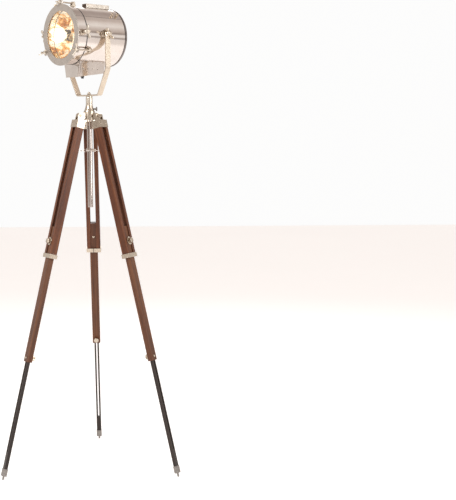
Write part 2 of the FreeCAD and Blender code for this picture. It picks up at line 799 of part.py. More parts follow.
def rear_cover():
    """Pressed back cover: flat plate, straight skirt and a rolled bead round the edge."""
    plate = tube(SKIN, "holder_radius - back_hole_inset", BACK_INSIDE, "back_plate")
    wall = tube("drum_radius", INNER_RADIUS, DRUM_END, "back_length")
    bead_start = f"({DRUM_END} + back_bead_setback)"
    bead = tube("drum_radius + back_bead_rise", SKIN, bead_start, "back_bead_length")
    node(fuse(plate, wall, bead), "rear_cover", drum_frame)


# ---------------------------------------------------------------- inside the head

def reflector():
    """Spherical mirror dish with a flat flange that sits in the drum."""
    centre = f"-{MIRROR_SETBACK} - mirror_depth + {MIRROR_RADIUS}"
    dish = cut(
        ball(MIRROR_RADIUS, (centre, "0", "0")),
        ball(f"{MIRROR_RADIUS} - mirror_wall", (centre, "0", "0")),
    )
    behind = rod(INNER_RADIUS, "2 * mirror_depth", (f"-{MIRROR_SETBACK}", "0", "0"), "-x")
    flange = tube(f"{INNER_RADIUS} - running_gap", f"{MIRROR_RIM} - mirror_wall", MIRROR_SETBACK,
                  "mirror_wall")
    hole = rod("holder_radius + mirror_hole_gap", "2 * drum_length", ("0", "0", "0"), "-x")
    node(cut(fuse(common(dish, behind), flange), hole), "reflector", drum_frame)


def louvre():
    """Five thin horizontal blades fixed across the front section behind the glass."""
    blades = []
    bound = f"{INNER_RADIUS} - running_gap"
    for index in range(-2, 3):
        blade = block(("blade_depth", "3 * drum_radius", "blade_thickness"),
                      ("-blade_setback - blade_depth / 2", "0", f"{index} * blade_pitch"))
        blades.append(common(blade, rod(bound, "drum_length", ("0", "0", "0"), "-x")))
    node(group(*blades), "louvre_blades", drum_frame)


def lamp():
    """Globe bulb in its holder on the back cover."""
    bulb = fuse(
        ball("bulb_radius", (f"-{BULB_SETBACK}", "0", "0")),
        rod("bulb_neck_radius", "bulb_neck_length", (f"-{BULB_SETBACK}", "0", "0"), "-x"),
    )
    node(bulb, "bulb", drum_frame)
    front = f"({BULB_SETBACK} + bulb_neck_length)"
    holder = fuse(
        rod("holder_radius", f"{BACK_INSIDE} - holder_foot + 2 - {front}", (f"-{front}", "0", "0"), "-x"),
        rod("holder_radius - holder_foot_inset", "holder_foot", (f"-{BACK_INSIDE}", "0", "0"), "x"),
    )
    node(holder, "lamp_holder", drum_frame)


# ---------------------------------------------------------------- wing nuts and clamps

def wing_nut(label, frame, size, bore):
    """Wing nut along X: a hub with two flat wings along Z, open behind for its stud."""
    span = f"{size}_wing_span"
    height = f"{size}_wing_height"
    tip = "wing_tip_radius"
    wings = block((f"{height} - wing_root", "wing_thickness", f"{span} - 2 * {tip}"),
                  (f"(wing_root + {height}) / 2", "0", "0"))
    tips = []
    for sign in ("-", ""):
        tips.append(rod(tip, "wing_thickness", (f"{height} - {tip}", "-wing_thickness / 2",
                                                f"{sign}({span} / 2 - {tip})"), "y"))
    body = rod(f"{size}_wing_hub_radius", f"{size}_wing_hub", ("0", "0", "0"), "x")
    hole = rod(f"{bore} + running_gap", "2 * tool_reach", ("-tool_reach", "0", "0"), "x")
    turn = Placement(Vector(), Rotation(Vector(1, 0, 0), NUT_TURNS[label]))
    node(cut(fuse(body, wings, *tips), hole), label, frame.multiply(turn))


def front_clamp(name, angle):
    """Swing bolt on its eye, and the wing nut in front of the ring's slotted lug."""
    frame = clock_frame(angle)
    eye = rod("swing_eye_radius", "swing_eye_width",
              (f"-{PIN_SETBACK}", CLAMP_CIRCLE, "-swing_eye_width / 2"), "z")
    shank = rod("swing_bolt_radius", f"{PIN_SETBACK} + swing_bolt_nose",
                (f"-{PIN_SETBACK}", CLAMP_CIRCLE, "0"), "x")
    pin_hole = rod("swing_pin_radius + running_gap", "tool_reach",
                   (f"-{PIN_SETBACK}", CLAMP_CIRCLE, "-tool_reach / 2"), "z")
    node(cut(fuse(eye, shank), pin_hole), f"swing_bolt_{name}", frame)
    start = Placement(Vector(SIZES["clamp_nut_gap"], clamp_circle, 0), Rotation())
    wing_nut(f"clamp_nut_{name}", frame.multiply(start), "small", "swing_bolt_radius")


def clamp_lugs():
    """Three forked lugs with pins on the drum, each holding a swing bolt's eye."""
    lugs = []
    casing = rod("drum_radius", "2 * drum_length", ("0", "0", "0"), "-x")
    fork = "(swing_eye_width / 2 + seat_gap)"
    half = f"({fork} + clamp_ear_thickness)"
    for angle in CLAMPS.values():
        pieces = [block(("clamp_base_length", "clamp_base_height + 2 * drum_wall", f"2 * {half}"),
                        (f"-{PIN_SETBACK}", "drum_radius + clamp_base_height / 2 - drum_wall", "0"))]
        for sign in ("-", ""):
            middle = f"{sign}({fork} + clamp_ear_thickness / 2)"
            pieces.append(block(("2 * swing_eye_radius", "clamp_rise", "clamp_ear_thickness"),
                                (f"-{PIN_SETBACK}", "drum_radius + clamp_rise / 2", middle)))
            pieces.append(rod("swing_eye_radius", "clamp_ear_thickness",
                              (f"-{PIN_SETBACK}", CLAMP_CIRCLE, f"{middle} - clamp_ear_thickness / 2"), "z"))
        pin = rod("swing_pin_radius", f"2 * ({half} + swing_pin_end)",
                  (f"-{PIN_SETBACK}", CLAMP_CIRCLE, f"-({half} + swing_pin_end)"), "z")
        sweep = rod("swing_eye_radius + seat_gap", f"2 * {fork}",
                    (f"-{PIN_SETBACK}", CLAMP_CIRCLE, f"-{fork}"), "z")
        lug = fuse(cut(fuse(*pieces), sweep), pin)
        lugs.append(cut(turned_copy(lug, angle, Vector(1, 0, 0)), casing))
    node(group(*lugs), "clamp_lugs", drum_frame)


# ---------------------------------------------------------------- side studs and tilt pivot

def side_studs():
    """Barrel studs on both sides of the front section, with large wing nuts."""
    casing = rod("drum_radius", "2 * drum_length", ("ring_reach", "0", "-pivot_rise"), "-x")
    studs = []
    for name, sign in SIDES.items():
        along = "y" if sign > 0 else "-y"
        place = "ring_reach - side_setback"
        start = (place, f"{sign} * (drum_radius - root_depth)", "0")
        pieces = [
            rod("side_base_radius", "side_base_rise + root_depth", start, along),
            rod("side_barrel_radius", "side_barrel_rise + root_depth", start, along),
            rod("side_stud_radius", "root_depth + side_barrel_rise + large_wing_hub + stud_end", start,
                along),
        ]
        studs.append(cut(fuse(*pieces), casing))
        seat = Placement(
            Vector(SIZES["ring_reach"] - SIZES["side_setback"],
                   sign * (barrel_reach + SIZES["seat_gap"]), 0),
            Rotation(Vector(0, 0, 1), 90 * sign),
        )
        wing_nut(f"side_nut_{name}", lamp_frame.multiply(seat), "large", "side_stud_radius")
    node(group(*studs), "side_studs", lamp_frame)


def tilt_pivot():
    """Bosses with studs through the yoke's ends, outer washers, and wing nuts."""
    casing = rod("drum_radius", "2 * drum_length", ("drum_length", "0", "-pivot_rise"), "-x")
    bosses = []
    outside = f"({YOKE_HALF} + strap_thickness + seat_gap)"
    for name, sign in SIDES.items():
        along = "y" if sign > 0 else "-y"
        start = ("0", f"{sign} * (drum_radius - root_depth)", "0")
        disc = rod("pivot_disc_radius", "yoke_clearance - seat_gap + root_depth", start, along)
        length = f"root_depth - drum_radius + {outside} + pivot_washer + large_wing_hub + stud_end"
        stud = rod("pivot_stud_radius", length, start, along)
        bosses.append(cut(fuse(disc, stud), casing))
        washer = cut(
            rod("pivot_washer_radius", "pivot_washer", ("0", f"{sign} * {outside}", "0"), along),
            rod("pivot_stud_radius", f"4 * {outside}", ("0", f"-2 * {outside}", "0"), "y"),
        )
        bosses.append(washer)
        reach = yoke_half + SIZES["strap_thickness"] + SIZES["pivot_washer"] + 2 * SIZES["seat_gap"]
        seat = Placement(Vector(0, sign * reach, 0), Rotation(Vector(0, 0, 1), 90 * sign))
        wing_nut(f"pivot_nut_{name}", lamp_frame.multiply(seat), "large", "pivot_stud_radius")
    node(group(*bosses), "tilt_bosses", lamp_frame)


# ---------------------------------------------------------------- base box, hood and terminals

def trough(inset):
    """Tapered prism under the drum, drawn in by an inset on every side."""
    item = doc.addObject("Part::Wedge", "Trough")
    half_top = f"(box_top_half - {inset})"
    half_bottom = f"(box_bottom_half - {inset})"
    links = {
        "Xmin": f"-{half_top}", "Xmax": half_top, "X2min": f"-{half_bottom}", "X2max": half_bottom,
        "Zmin": f"{BOX_SETBACK} + {inset}", "Zmax": f"{BOX_SETBACK} + box_length - {inset}",
        "Z2min": f"{BOX_SETBACK} + {inset}", "Z2max": f"{BOX_SETBACK} + box_length - {inset}",
        "Ymin": "sqrt(drum_radius ^ 2 - box_top_half ^ 2) - box_root",
        "Ymax": f"drum_radius + box_depth - {inset}",
    }
    for prop, expression in links.items():
        item.setExpression(prop, linked(expression))
    # the wedge's X is across the lamp, its Y points down and its Z points back
    axes = Rotation(Vector(0, 1, 0), Vector(0, 0, -1), Vector(-1, 0, 0), "XYZ")
    item.Placement = Placement(Vector(), axes)
    slope = math.degrees(math.atan2(SIZES["box_lift"], SIZES["box_length"]))
    below = primitive(
        "Part::Box",
        (f"-{BOX_SETBACK}", "-drum_radius", f"-(drum_radius + box_depth - {inset} / cos({slope}))"),
        Rotation(Vector(0, 1, 0), 180 + slope),
        Length="2 * box_length", Width="2 * drum_radius", Height="2 * box_depth",
    )
    return cut(item, below)


def base_box():
    """Sheet-metal box below the drum that holds the wiring."""
    casing = rod("drum_radius", "2 * drum_length", ("0", "0", "0"), "-x")
    lead_hole = gland_rod("gland_radius - 1", "tool_reach", -SIZES["tool_reach"] / 2)
    walls = cut(trough("0"), trough("box_wall"), casing, lead_hole)
    node(walls, "base_box", drum_frame)


def gland_rod(radius, length, rise):
    """Rod square to the box's sloping floor at the gland's place; rise is measured out of the floor."""
    slope = math.atan2(SIZES["box_lift"], SIZES["box_length"])
    out = Vector(-math.sin(slope), 0, -math.cos(slope))
    centre = Vector(
        -box_setback - SIZES["gland_setback"],
        SIZES["gland_side"],
        -SIZES["drum_radius"] - SIZES["box_depth"] + math.tan(slope) * SIZES["gland_setback"],
    )
    item = doc.addObject("Part::Cylinder", "GlandRod")
    item.setExpression("Radius", linked(radius))
    item.setExpression("Height", linked(length))
    item.Placement = Placement(centre + out * rise, Rotation(Vector(0, 0, 1), out))
    return item


def cable_gland():
    """Short gland in the box's floor that the supply lead would pass through."""
    body = fuse(
        gland_rod("gland_nut_radius", "gland_nut_height", 0),
        gland_rod("gland_radius", "gland_length", 0),
        gland_rod("gland_radius - 1", "gland_thread + 1", -SIZES["gland_thread"]),
    )
    bore = gland_rod("gland_bore", "tool_reach", -SIZES["tool_reach"] / 2)
    node(cut(body, bore), "cable_gland", drum_frame)


def vent_hood():
    """Inverted channel on top of the drum, open at the front."""
    casing = rod("drum_radius", "2 * drum_length", ("0", "0", "0"), "-x")
    tall = "(hood_rise + root_depth)"
    middle = f"-({DRUM_END} - hood_from_back - hood_length / 2)"
    level = "drum_radius + (hood_rise - root_depth) / 2"
    shell = block(("hood_length", "hood_width", tall), (middle, "0", level))
    inside = block(("hood_length", "hood_width - 2 * hood_wall", tall),
                   (f"{middle} + hood_wall", "0", f"{level} - hood_wall"))
    node(cut(shell, inside, casing), "vent_hood", drum_frame)


def terminal(index):
    """Small thumb screw through the drum's wall."""
    place = terminal_place(index)
    screw = fuse(
        rod("terminal_shank_radius", "terminal_rise + root_depth",
            (place, "drum_radius - root_depth", "0"), "y"),
        rod("terminal_head_radius + terminal_washer_rim", "terminal_washer",
            (place, "drum_radius + seat_gap", "0"), "y"),
        rod("terminal_head_radius", "terminal_head",
            (place, "drum_radius + terminal_rise - terminal_head - 1", "0"), "y"),
    )
    node(screw, f"terminal_screw_{index + 1}", clock_frame(SIZES["terminal_angle"]))


# ---------------------------------------------------------------- assembly

eye_offset = (
    SIZES["slat_thickness"] / 2 + SIZES["eye_plate_thickness"] + SIZES["eye_radius"] - SIZES["eye_root"]
)
chain_height = (
    SIZES["pivot_height"]
    - eye_offset * math.sin(math.radians(leg_lean))
    - SIZES["chain_drop"] * math.cos(math.radians(leg_lean))
)

for leg, leg_angle in LEGS.items():
    leg_place = leg_frame(leg_angle)
    slats(leg, leg_place)
    leg_fittings(leg, leg_place)
    middle_stage(leg, leg_place)
    lower_stage(leg, leg_place)
    foot(leg, leg_place)
    clamp_screw(f"upper_knob_{leg}", leg_place, UPPER_CLAMP, True, True,
                "slat_thickness / 2", f"{MIDDLE_THICKNESS} / 2")
    clamp_screw(f"lower_knob_{leg}", leg_place, LOWER_CLAMP, False, False,
                f"{MIDDLE_THICKNESS} / 2", f"{MIDDLE_THICKNESS} / 2")
    leg_chain(leg, Placement(Vector(0, 0, chain_height), Rotation(Vector(0, 0, 1), leg_angle - 90)))

hub()
leg_bolts()
column()
column_screw()
chain_ring()
yoke()
front_ring()
front_rim()
shells()
rear_cover()
reflector()
louvre()
lamp()
clamp_lugs()
for clamp, clamp_angle in CLAMPS.items():
    front_clamp(clamp, clamp_angle)
side_studs()
tilt_pivot()
base_box()
cable_gland()
vent_hood()
for number in range(2):
    terminal(number)

doc.recompute()

for item in doc.Objects:
    if "Invalid" in item.State or "Error" in item.State:
        raise RuntimeError(f"{item.Name} did not recompute: {item.State}")
for item in nodes:
    if item.Shape.isNull() or not item.Shape.isValid() or not item.Shape.Solids:
        raise RuntimeError(f"{item.Label} has no valid shape")

for item in nodes:
    item.Shape.exportStep(f"parts/{item.Label}.step")
    box = item.Shape.BoundBox
    print(f"{item.Label}: {len(item.Shape.Solids)} solids, volume {item.Shape.Volume:.0f}, "
          f"z {box.ZMin:.1f} to {box.ZMax:.1f}")
print(len(nodes), "nodes")
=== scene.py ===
import bpy
import bmesh
import json
import math
from mathutils import Matrix, Vector


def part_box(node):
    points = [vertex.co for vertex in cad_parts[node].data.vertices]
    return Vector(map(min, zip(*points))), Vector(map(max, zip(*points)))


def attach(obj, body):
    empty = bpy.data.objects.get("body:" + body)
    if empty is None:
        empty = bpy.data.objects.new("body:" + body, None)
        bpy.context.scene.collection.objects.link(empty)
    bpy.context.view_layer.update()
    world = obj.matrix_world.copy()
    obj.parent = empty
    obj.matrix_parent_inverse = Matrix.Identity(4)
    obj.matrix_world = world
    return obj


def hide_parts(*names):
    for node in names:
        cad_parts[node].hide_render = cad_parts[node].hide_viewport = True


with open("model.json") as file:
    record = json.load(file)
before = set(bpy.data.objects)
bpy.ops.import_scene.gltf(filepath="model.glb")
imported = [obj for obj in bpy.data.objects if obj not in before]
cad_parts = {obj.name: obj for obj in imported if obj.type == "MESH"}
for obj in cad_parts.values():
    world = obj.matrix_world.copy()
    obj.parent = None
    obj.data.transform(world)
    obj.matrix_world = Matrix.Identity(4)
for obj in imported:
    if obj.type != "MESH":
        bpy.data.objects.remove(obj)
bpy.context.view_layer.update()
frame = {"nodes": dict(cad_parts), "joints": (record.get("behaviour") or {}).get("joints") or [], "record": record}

MM = 0.001
LEGS = ("back", "left", "right")
CLAMPS = {"top": 90, "left": -30, "right": 210}
SIDES = {"left": 1, "right": -1}
JOINTS = {joint["name"]: joint for joint in frame["joints"]}
BODY_OF = {node: body for body, nodes in frame["record"]["behaviour"]["bodies"].items() for node in nodes}


# ---------------------------------------------------------------- frames of the CAD model

def axes_matrix(origin, x, y, z):
    matrix = Matrix((x, y, z)).transposed().to_4x4()
    matrix.translation = origin
    return matrix


def leg_matrix(leg):
    """Leg frame: origin at the pivot, Z up along the leg, Y outwards, X across."""
    up = Vector(JOINTS[f"middle_slide_{leg}"]["axis"]).normalized()
    out = Vector(JOINTS[f"upper_knob_turn_{leg}"]["axis"]).normalized()
    return axes_matrix(Vector(JOINTS[f"leg_fold_{leg}"]["pos_m"]), out.cross(up), out, up)


def lamp_matrix():
    """Lamp frame: origin at the tilt pivot, X along the beam, Y to the lamp's left, Z up."""
    left = -Vector(JOINTS["tilt"]["axis"]).normalized()
    up = Vector((0, 0, 1))
    return axes_matrix(Vector(JOINTS["tilt"]["pos_m"]), left.cross(up), left, up)


def local_box(node, matrix):
    """Lowest and highest corner of a CAD node, measured in a frame."""
    back = matrix.inverted()
    points = [back @ vertex.co for vertex in frame["nodes"][node].data.vertices]
    low = Vector([min(point[axis] for point in points) for axis in range(3)])
    high = Vector([max(point[axis] for point in points) for axis in range(3)])
    return low, high


LAMP = lamp_matrix()
RING_LOW, RING_HIGH = local_box("front_glass", LAMP)
RIM_LOW, RIM_HIGH = local_box("front_rim", LAMP)
DRUM_LOW, DRUM_HIGH = local_box("drum", LAMP)
COVER_LOW, COVER_HIGH = local_box("rear_cover", LAMP)
FACE_X = local_box("front_ring", LAMP)[1].x
AXIS_Z = (DRUM_LOW.z + DRUM_HIGH.z) / 2
DRUM = LAMP @ Matrix.Translation((FACE_X, 0, AXIS_Z))
DRUM_RADIUS = (DRUM_HIGH.z - DRUM_LOW.z) / 2
WALL = 1.5 * MM


def clock(angle):
    """Drum frame turned about the beam so that its Y axis points outwards at the angle."""
    return DRUM @ Matrix.Rotation(math.radians(angle), 4, "X")


# ---------------------------------------------------------------- mesh building

def to_object(name, bm, matrix, sharp=35):
    bmesh.ops.recalc_face_normals(bm, faces=bm.faces)
    mesh = bpy.data.meshes.new(name)
    bm.to_mesh(mesh)
    bm.free()
    for polygon in mesh.polygons:
        polygon.use_smooth = True
    mesh.set_sharp_from_angle(angle=math.radians(sharp))
    piece = bpy.data.objects.new(name, mesh)
    bpy.context.scene.collection.objects.link(piece)
    piece.matrix_world = matrix
    return piece


def dress(piece, node, material, replaces=False):
    """Ride on the node's body, take a material, and stand for it if asked."""
    piece.data.materials.clear()
    piece.data.materials.append(material)
    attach(piece, BODY_OF[node])
    if replaces:
        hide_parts(node)
    return piece


def even_normals(piece):
    weighted = piece.modifiers.new("even_normals", "WEIGHTED_NORMAL")
    weighted.keep_sharp = True
    return piece


def rounded(points, radius, steps=4, closed=False):
    """Polyline with its corners rounded by short curves."""
    count = len(points)
    result = []
    for index, point in enumerate(points):
        if not closed and index in (0, count - 1):
            result.append(Vector(point))
            continue
        here = Vector(point)
        before = Vector(points[index - 1])
        after = Vector(points[(index + 1) % count])
        reach = min(radius, (before - here).length * 0.45, (after - here).length * 0.45)
        start = here + (before - here).normalized() * reach
        end = here + (after - here).normalized() * reach
        for step in range(steps + 1):
            share = step / steps
            result.append(start * (1 - share) ** 2 + here * (2 * share * (1 - share)) + end * share ** 2)
    return result


def lathe(profile, segments=96, closed=False, ripple=None):
    """Surface turned about X from (x, radius) points; ripple(angle, index) scales the radius."""
    bm = bmesh.new()
    rings = []
    for index, (x, radius) in enumerate(profile):
        if radius < 1e-6:
            rings.append([bm.verts.new((x, 0, 0))])
            continue
        ring = []
        for segment in range(segments):
            angle = 2 * math.pi * segment / segments
            size = radius * (ripple(angle, index) if ripple else 1)
            ring.append(bm.verts.new((x, size * math.cos(angle), size * math.sin(angle))))
        rings.append(ring)
    pairs = list(zip(rings, rings[1:]))
    if closed:
        pairs.append((rings[-1], rings[0]))
    for first, second in pairs:
        for segment in range(segments):
            after = (segment + 1) % segments
            if len(first) == 1 and len(second) == 1:
                continue
            if len(first) == 1:
                bm.faces.new((first[0], second[segment], second[after]))
            elif len(second) == 1:
                bm.faces.new((first[segment], second[0], first[after]))
            else:
                bm.faces.new((first[segment], second[segment], second[after], first[after]))
    return bm


def add_bar(bm, low, high, bevel, segments=2):
    """Box between two corners with rounded edges, added to a mesh."""
    made = bmesh.ops.create_cube(bm, size=1)["verts"]
    low, high = Vector(low), Vector(high)
    middle, span = (low + high) / 2, high - low
    for vertex in made:
        vertex.co = Vector([middle[axis] + vertex.co[axis] * span[axis] for axis in range(3)])
    edges = list({edge for vertex in made for edge in vertex.link_edges})
    bmesh.ops.bevel(bm, geom=edges, offset=bevel, segments=segments, affect="EDGES", profile=0.5)
    return bm


def prism(outline, low, high, bevel, axes=(1, 2, 0), segments=2):
    """Plate with a polygon outline in two axes, from low to high along the third."""
    bm = bmesh.new()
    ends = []
    for level in (low, high):
        ring = []
        for point in outline:
            place = [0, 0, 0]
            place[axes[0]], place[axes[1]], place[axes[2]] = point[0], point[1], level
            ring.append(bm.verts.new(place))
        ends.append(ring)
    bm.faces.new(ends[0])
    bm.faces.new(ends[1])
    count = len(outline)
    for index in range(count):
        after = (index + 1) % count
        bm.faces.new((ends[0][index], ends[0][after], ends[1][after], ends[1][index]))
    bmesh.ops.recalc_face_normals(bm, faces=bm.faces)
    if bevel:
        rim = [edge for edge in bm.edges if edge.calc_face_angle(0) > math.radians(40)]
        bmesh.ops.bevel(bm, geom=rim, offset=bevel, segments=segments, affect="EDGES", profile=0.5,
                        clamp_overlap=True)
    return bm


def sweep(path, section, closed=False, up=Vector((0, 0, 1)), widths=None):
    """Section of (side, up) points carried along a path; widths scales its up side at each point."""
    bm = bmesh.new()
    rings = []
    count = len(path)
    for index, point in enumerate(path):
        before = path[index - 1] if closed or index else path[0]
        after = path[(index + 1) % count] if closed or index < count - 1 else path[-1]
        forward = (after - before).normalized()
        side = forward.cross(up).normalized()
        lift = side.cross(forward)
        factor = widths[index] if widths else 1
        rings.append([bm.verts.new(point + side * x + lift * (y * factor)) for x, y in section])
    pairs = list(zip(rings, rings[1:]))
    if closed:
        pairs.append((rings[-1], rings[0]))
    size = len(section)
    for first, second in pairs:
        for index in range(size):
            after = (index + 1) % size
            bm.faces.new((first[index], second[index], second[after], first[after]))
    if not closed:
        bm.faces.new(rings[0])
        bm.faces.new(rings[-1][::-1])
    return bm


def circle(radius, count=12):
    return [(radius * math.cos(2 * math.pi * i / count), radius * math.sin(2 * math.pi * i / count))
            for i in range(count)]


def joined(*meshes):
    """One mesh from several; each is given alone or with a matrix."""
    whole = bmesh.new()
    for entry in meshes:
        bm, matrix = entry if isinstance(entry, tuple) else (entry, Matrix.Identity(4))
        part = bpy.data.meshes.new("part")
        bm.to_mesh(part)
        bm.free()
        part.transform(matrix)
        whole.from_mesh(part)
        bpy.data.meshes.remove(part)
    return whole


def recast(node, matrix, material, bevel=0.5 * MM, sharp=35, segments=2):
    """Piece with a CAD node's shape and rounded edges, in a frame that its finish can follow."""
    bm = bmesh.new()
    bm.from_mesh(frame["nodes"][node].data)
    bm.transform(matrix.inverted())
    bmesh.ops.remove_doubles(bm, verts=bm.verts, dist=0.01 * MM)
    bmesh.ops.dissolve_limit(bm, angle_limit=math.radians(1), verts=bm.verts, edges=bm.edges)
    low, high = local_box(node, matrix)
    if bevel:
        rim = [edge for edge in bm.edges if edge.calc_face_angle(0) > math.radians(sharp)]
        bmesh.ops.bevel(bm, geom=rim, offset=bevel, segments=segments, affect="EDGES", profile=0.5,
                        clamp_overlap=True)
        for vertex in bm.verts:
            vertex.co = Vector([min(max(vertex.co[axis], low[axis]), high[axis]) for axis in range(3)])
    piece = to_object(f"{node}_finish", bm, matrix)
    return even_normals(dress(piece, node, material, replaces=True))


# ---------------------------------------------------------------- materials

class Finish:
    """Principled material with a few procedural layers in object coordinates."""

    def __init__(self, name, **sockets):
        self.material = bpy.data.materials.new(name)
        self.material.use_nodes = True
        self.tree = self.material.node_tree
        self.shader = self.tree.nodes["Principled BSDF"]
        for socket, value in sockets.items():
            self.shader.inputs[socket.replace("_", " ")].default_value = value
        self.place = self.node("ShaderNodeTexCoord").outputs["Object"]

    def node(self, kind, **values):
        made = self.tree.nodes.new(kind)
        for key, value in values.items():
            if key in made.inputs:
                made.inputs[key].default_value = value
            else:
                setattr(made, key, value)
        return made

    def link(self, output, target):
        self.tree.links.new(output, target)

    def scattered(self, amount=20):
        """Shift the texture from object to object."""
        info = self.node("ShaderNodeObjectInfo")
        scale = self.node("ShaderNodeMath", operation="MULTIPLY")
        scale.inputs[1].default_value = amount
        self.link(info.outputs["Random"], scale.inputs[0])
        moved = self.node("ShaderNodeVectorMath", operation="ADD")
        self.link(self.place, moved.inputs[0])
        self.link(scale.outputs[0], moved.inputs[1])
        self.place = moved.outputs[0]

    def noise(self, scale, detail=3, stretch=(1, 1, 1), roughness=0.5, distortion=0.0):
        mapping = self.node("ShaderNodeMapping", Scale=stretch)
        self.link(self.place, mapping.inputs["Vector"])
        noise = self.node("ShaderNodeTexNoise", Scale=scale, Detail=detail, Roughness=roughness,
                          Distortion=distortion)
        self.link(mapping.outputs[0], noise.inputs["Vector"])
        return noise.outputs["Fac"]

    def ramp(self, factor, *stops):
        """Colour ramp from (position, colour or grey) stops."""
        ramp = self.node("ShaderNodeValToRGB")
        elements = ramp.color_ramp.elements
        while len(elements) < len(stops):
            elements.new(0.5)
        for element, (position, value) in zip(elements, stops):
            element.position = position
            element.color = (value, value, value, 1) if isinstance(value, (int, float)) else (*value, 1)
        self.link(factor, ramp.inputs[0])
        return ramp.outputs[0]

    def mix(self, factor, first, second, blend="MIX"):
        mixer = self.node("ShaderNodeMix", data_type="RGBA", blend_type=blend)
        for target, value in ((mixer.inputs[0], factor), (mixer.inputs[6], first), (mixer.inputs[7], second)):
            if isinstance(value, bpy.types.NodeSocket):
                self.link(value, target)
            elif isinstance(value, tuple):
                target.default_value = (*value, 1)
            else:
                target.default_value = value
        return mixer.outputs[2]

    def to(self, socket, output):
        self.link(output, self.shader.inputs[socket])

    def bump(self, height, strength, distance):
        bump = self.node("ShaderNodeBump", Strength=strength, Distance=distance)
        if self.shader.inputs["Normal"].is_linked:
            self.link(self.shader.inputs["Normal"].links[0].from_socket, bump.inputs["Normal"])
        self.link(height, bump.inputs["Height"])
        self.to("Normal", bump.outputs[0])


def polished(name, base, tint, low, high, wave=0.03, scratch=0.02):
    """Plated metal: soft waves in the sheet, smudges in the roughness and hairline scratches."""
    finish = Finish(name, Metallic=1.0)
    finish.scattered(3)
    smudge = finish.noise(18, 4, roughness=0.6)
    finish.to("Base Color", finish.mix(finish.ramp(smudge, (0.3, 0.0), (0.7, 1.0)), base, tint))
    finish.to("Roughness", finish.ramp(finish.noise(45, 5, roughness=0.65), (0.3, low), (0.75, high)))
    finish.bump(finish.noise(7, 1), wave, 0.01)
    finish.bump(finish.noise(1, 2, stretch=(900, 60, 900)), scratch, 0.0004)
    return finish.material


def brushed(name, base, tint, low, high, stretch, strength=0.12):
    """Satin metal with fine lines along one direction and soft blotches."""
    finish = Finish(name, Metallic=1.0)
    lines = finish.noise(1, 3, stretch=stretch, roughness=0.7)
    blotch = finish.noise(30, 5, roughness=0.7)
    tone = finish.mix(finish.ramp(blotch, (0.35, 0.0), (0.7, 1.0)), base, tint)
    finish.to("Base Color", tone)
    finish.to("Roughness", finish.ramp(lines, (0.25, low), (0.8, high)))
    finish.bump(lines, strength, 0.0003)
    return finish.material


def cast(name, base, tint, low, high, grain=0.25):
    """Plated casting: fine sand grain and darker blotches at random."""
    finish = Finish(name, Metallic=1.0)
    finish.scattered(3)
    blotch = finish.noise(120, 5, roughness=0.7)
    finish.to("Base Color", finish.mix(finish.ramp(blotch, (0.35, 0.0), (0.7, 1.0)), base, tint))
    finish.to("Roughness", finish.ramp(finish.noise(260, 4, roughness=0.7), (0.3, low), (0.7, high)))
    finish.bump(finish.noise(900, 3, roughness=0.6), grain, 0.0003)
    finish.bump(finish.noise(60, 2), grain, 0.001)
    return finish.material


def timber(name, dark, middle, light, low, high):
    """Varnished wood with long grain along Z, streaks, pores and a few pale worn patches."""
    finish = Finish(name, Coat_Weight=0.12, Coat_Roughness=0.22, Specular_IOR_Level=0.35)
    finish.scattered(9)
    bend = finish.noise(3, 2, stretch=(1, 1, 0.4))
    streak = finish.noise(1, 6, stretch=(95, 95, 3.2), roughness=0.62, distortion=0.6)
    grain = finish.noise(1, 4, stretch=(420, 420, 9), roughness=0.6)
    pores = finish.noise(1, 2, stretch=(1500, 1500, 60), roughness=0.5)
    tone = finish.ramp(streak, (0.3, dark), (0.5, middle), (0.72, light))
    tone = finish.mix(finish.ramp(grain, (0.35, 0.65), (0.65, 0.0)), tone, dark)
    tone = finish.mix(finish.ramp(bend, (0.42, 0.0), (0.7, 0.45)), tone, light)
    tone = finish.mix(finish.ramp(pores, (0.28, 0.8), (0.4, 0.0)), tone, tuple(part * 0.4 for part in dark))
    finish.to("Base Color", tone)
    finish.to("Roughness", finish.ramp(grain, (0.3, low), (0.7, high)))
    finish.bump(grain, 0.25, 0.0004)
    finish.bump(pores, 0.2, 0.0003)
    return finish.material


def black_and_painted_shade(name, base=(0.012, 0.012, 0.013), low=0.35, high=0.6):
    """Moulded black rubber or plastic with a fine pebble; made darkest, as the shadow material, it is painted
    shade in slots, splits, holes and gaps.
    """
    finish = Finish(name)
    finish.to("Base Color", finish.mix(finish.noise(60, 4), base, tuple(part * 2.2 for part in base)))
    finish.to("Roughness", finish.ramp(finish.noise(300, 3), (0.3, low), (0.7, high)))
    finish.bump(finish.noise(1400, 2), 0.3, 0.0002)
    return finish.material


CHROME = polished("chrome", (0.80, 0.74, 0.70), (0.72, 0.65, 0.60), 0.04, 0.13)
# Darker copy of the chrome for the drum's inside, as painted shade; no piece takes it.
SHADED_INSIDE_CHROME = polished("chrome_inside_painted_shade", (0.55, 0.48, 0.42), (0.42, 0.36, 0.30), 0.15, 0.35)
RING_STEEL = brushed("ring_satin", (0.58, 0.53, 0.48), (0.48, 0.44, 0.40), 0.36, 0.55, (160, 160, 160))
STRAP = brushed("strap_nickel", (0.68, 0.59, 0.48), (0.60, 0.51, 0.41), 0.20, 0.34, (900, 60, 900), 0.04)
NICKEL = cast("cast_nickel", (0.60, 0.52, 0.43), (0.44, 0.37, 0.29), 0.12, 0.30, 0.09)
PALE_NICKEL = cast("pale_nickel", (0.74, 0.68, 0.59), (0.58, 0.51, 0.42), 0.18, 0.34, 0.1)
WOOD = timber("wood", (0.05, 0.013, 0.004), (0.14, 0.037, 0.009), (0.25, 0.088, 0.03), 0.38, 0.55)
MIDDLE_WOOD = timber("middle_wood", (0.05, 0.015, 0.005), (0.13, 0.042, 0.014), (0.23, 0.095, 0.042),
                     0.38, 0.56)
DARK_WOOD = timber("dark_wood", (0.009, 0.005, 0.004), (0.022, 0.012, 0.009), (0.045, 0.027, 0.02), 0.35, 0.55)
BLACK = black_and_painted_shade("black")
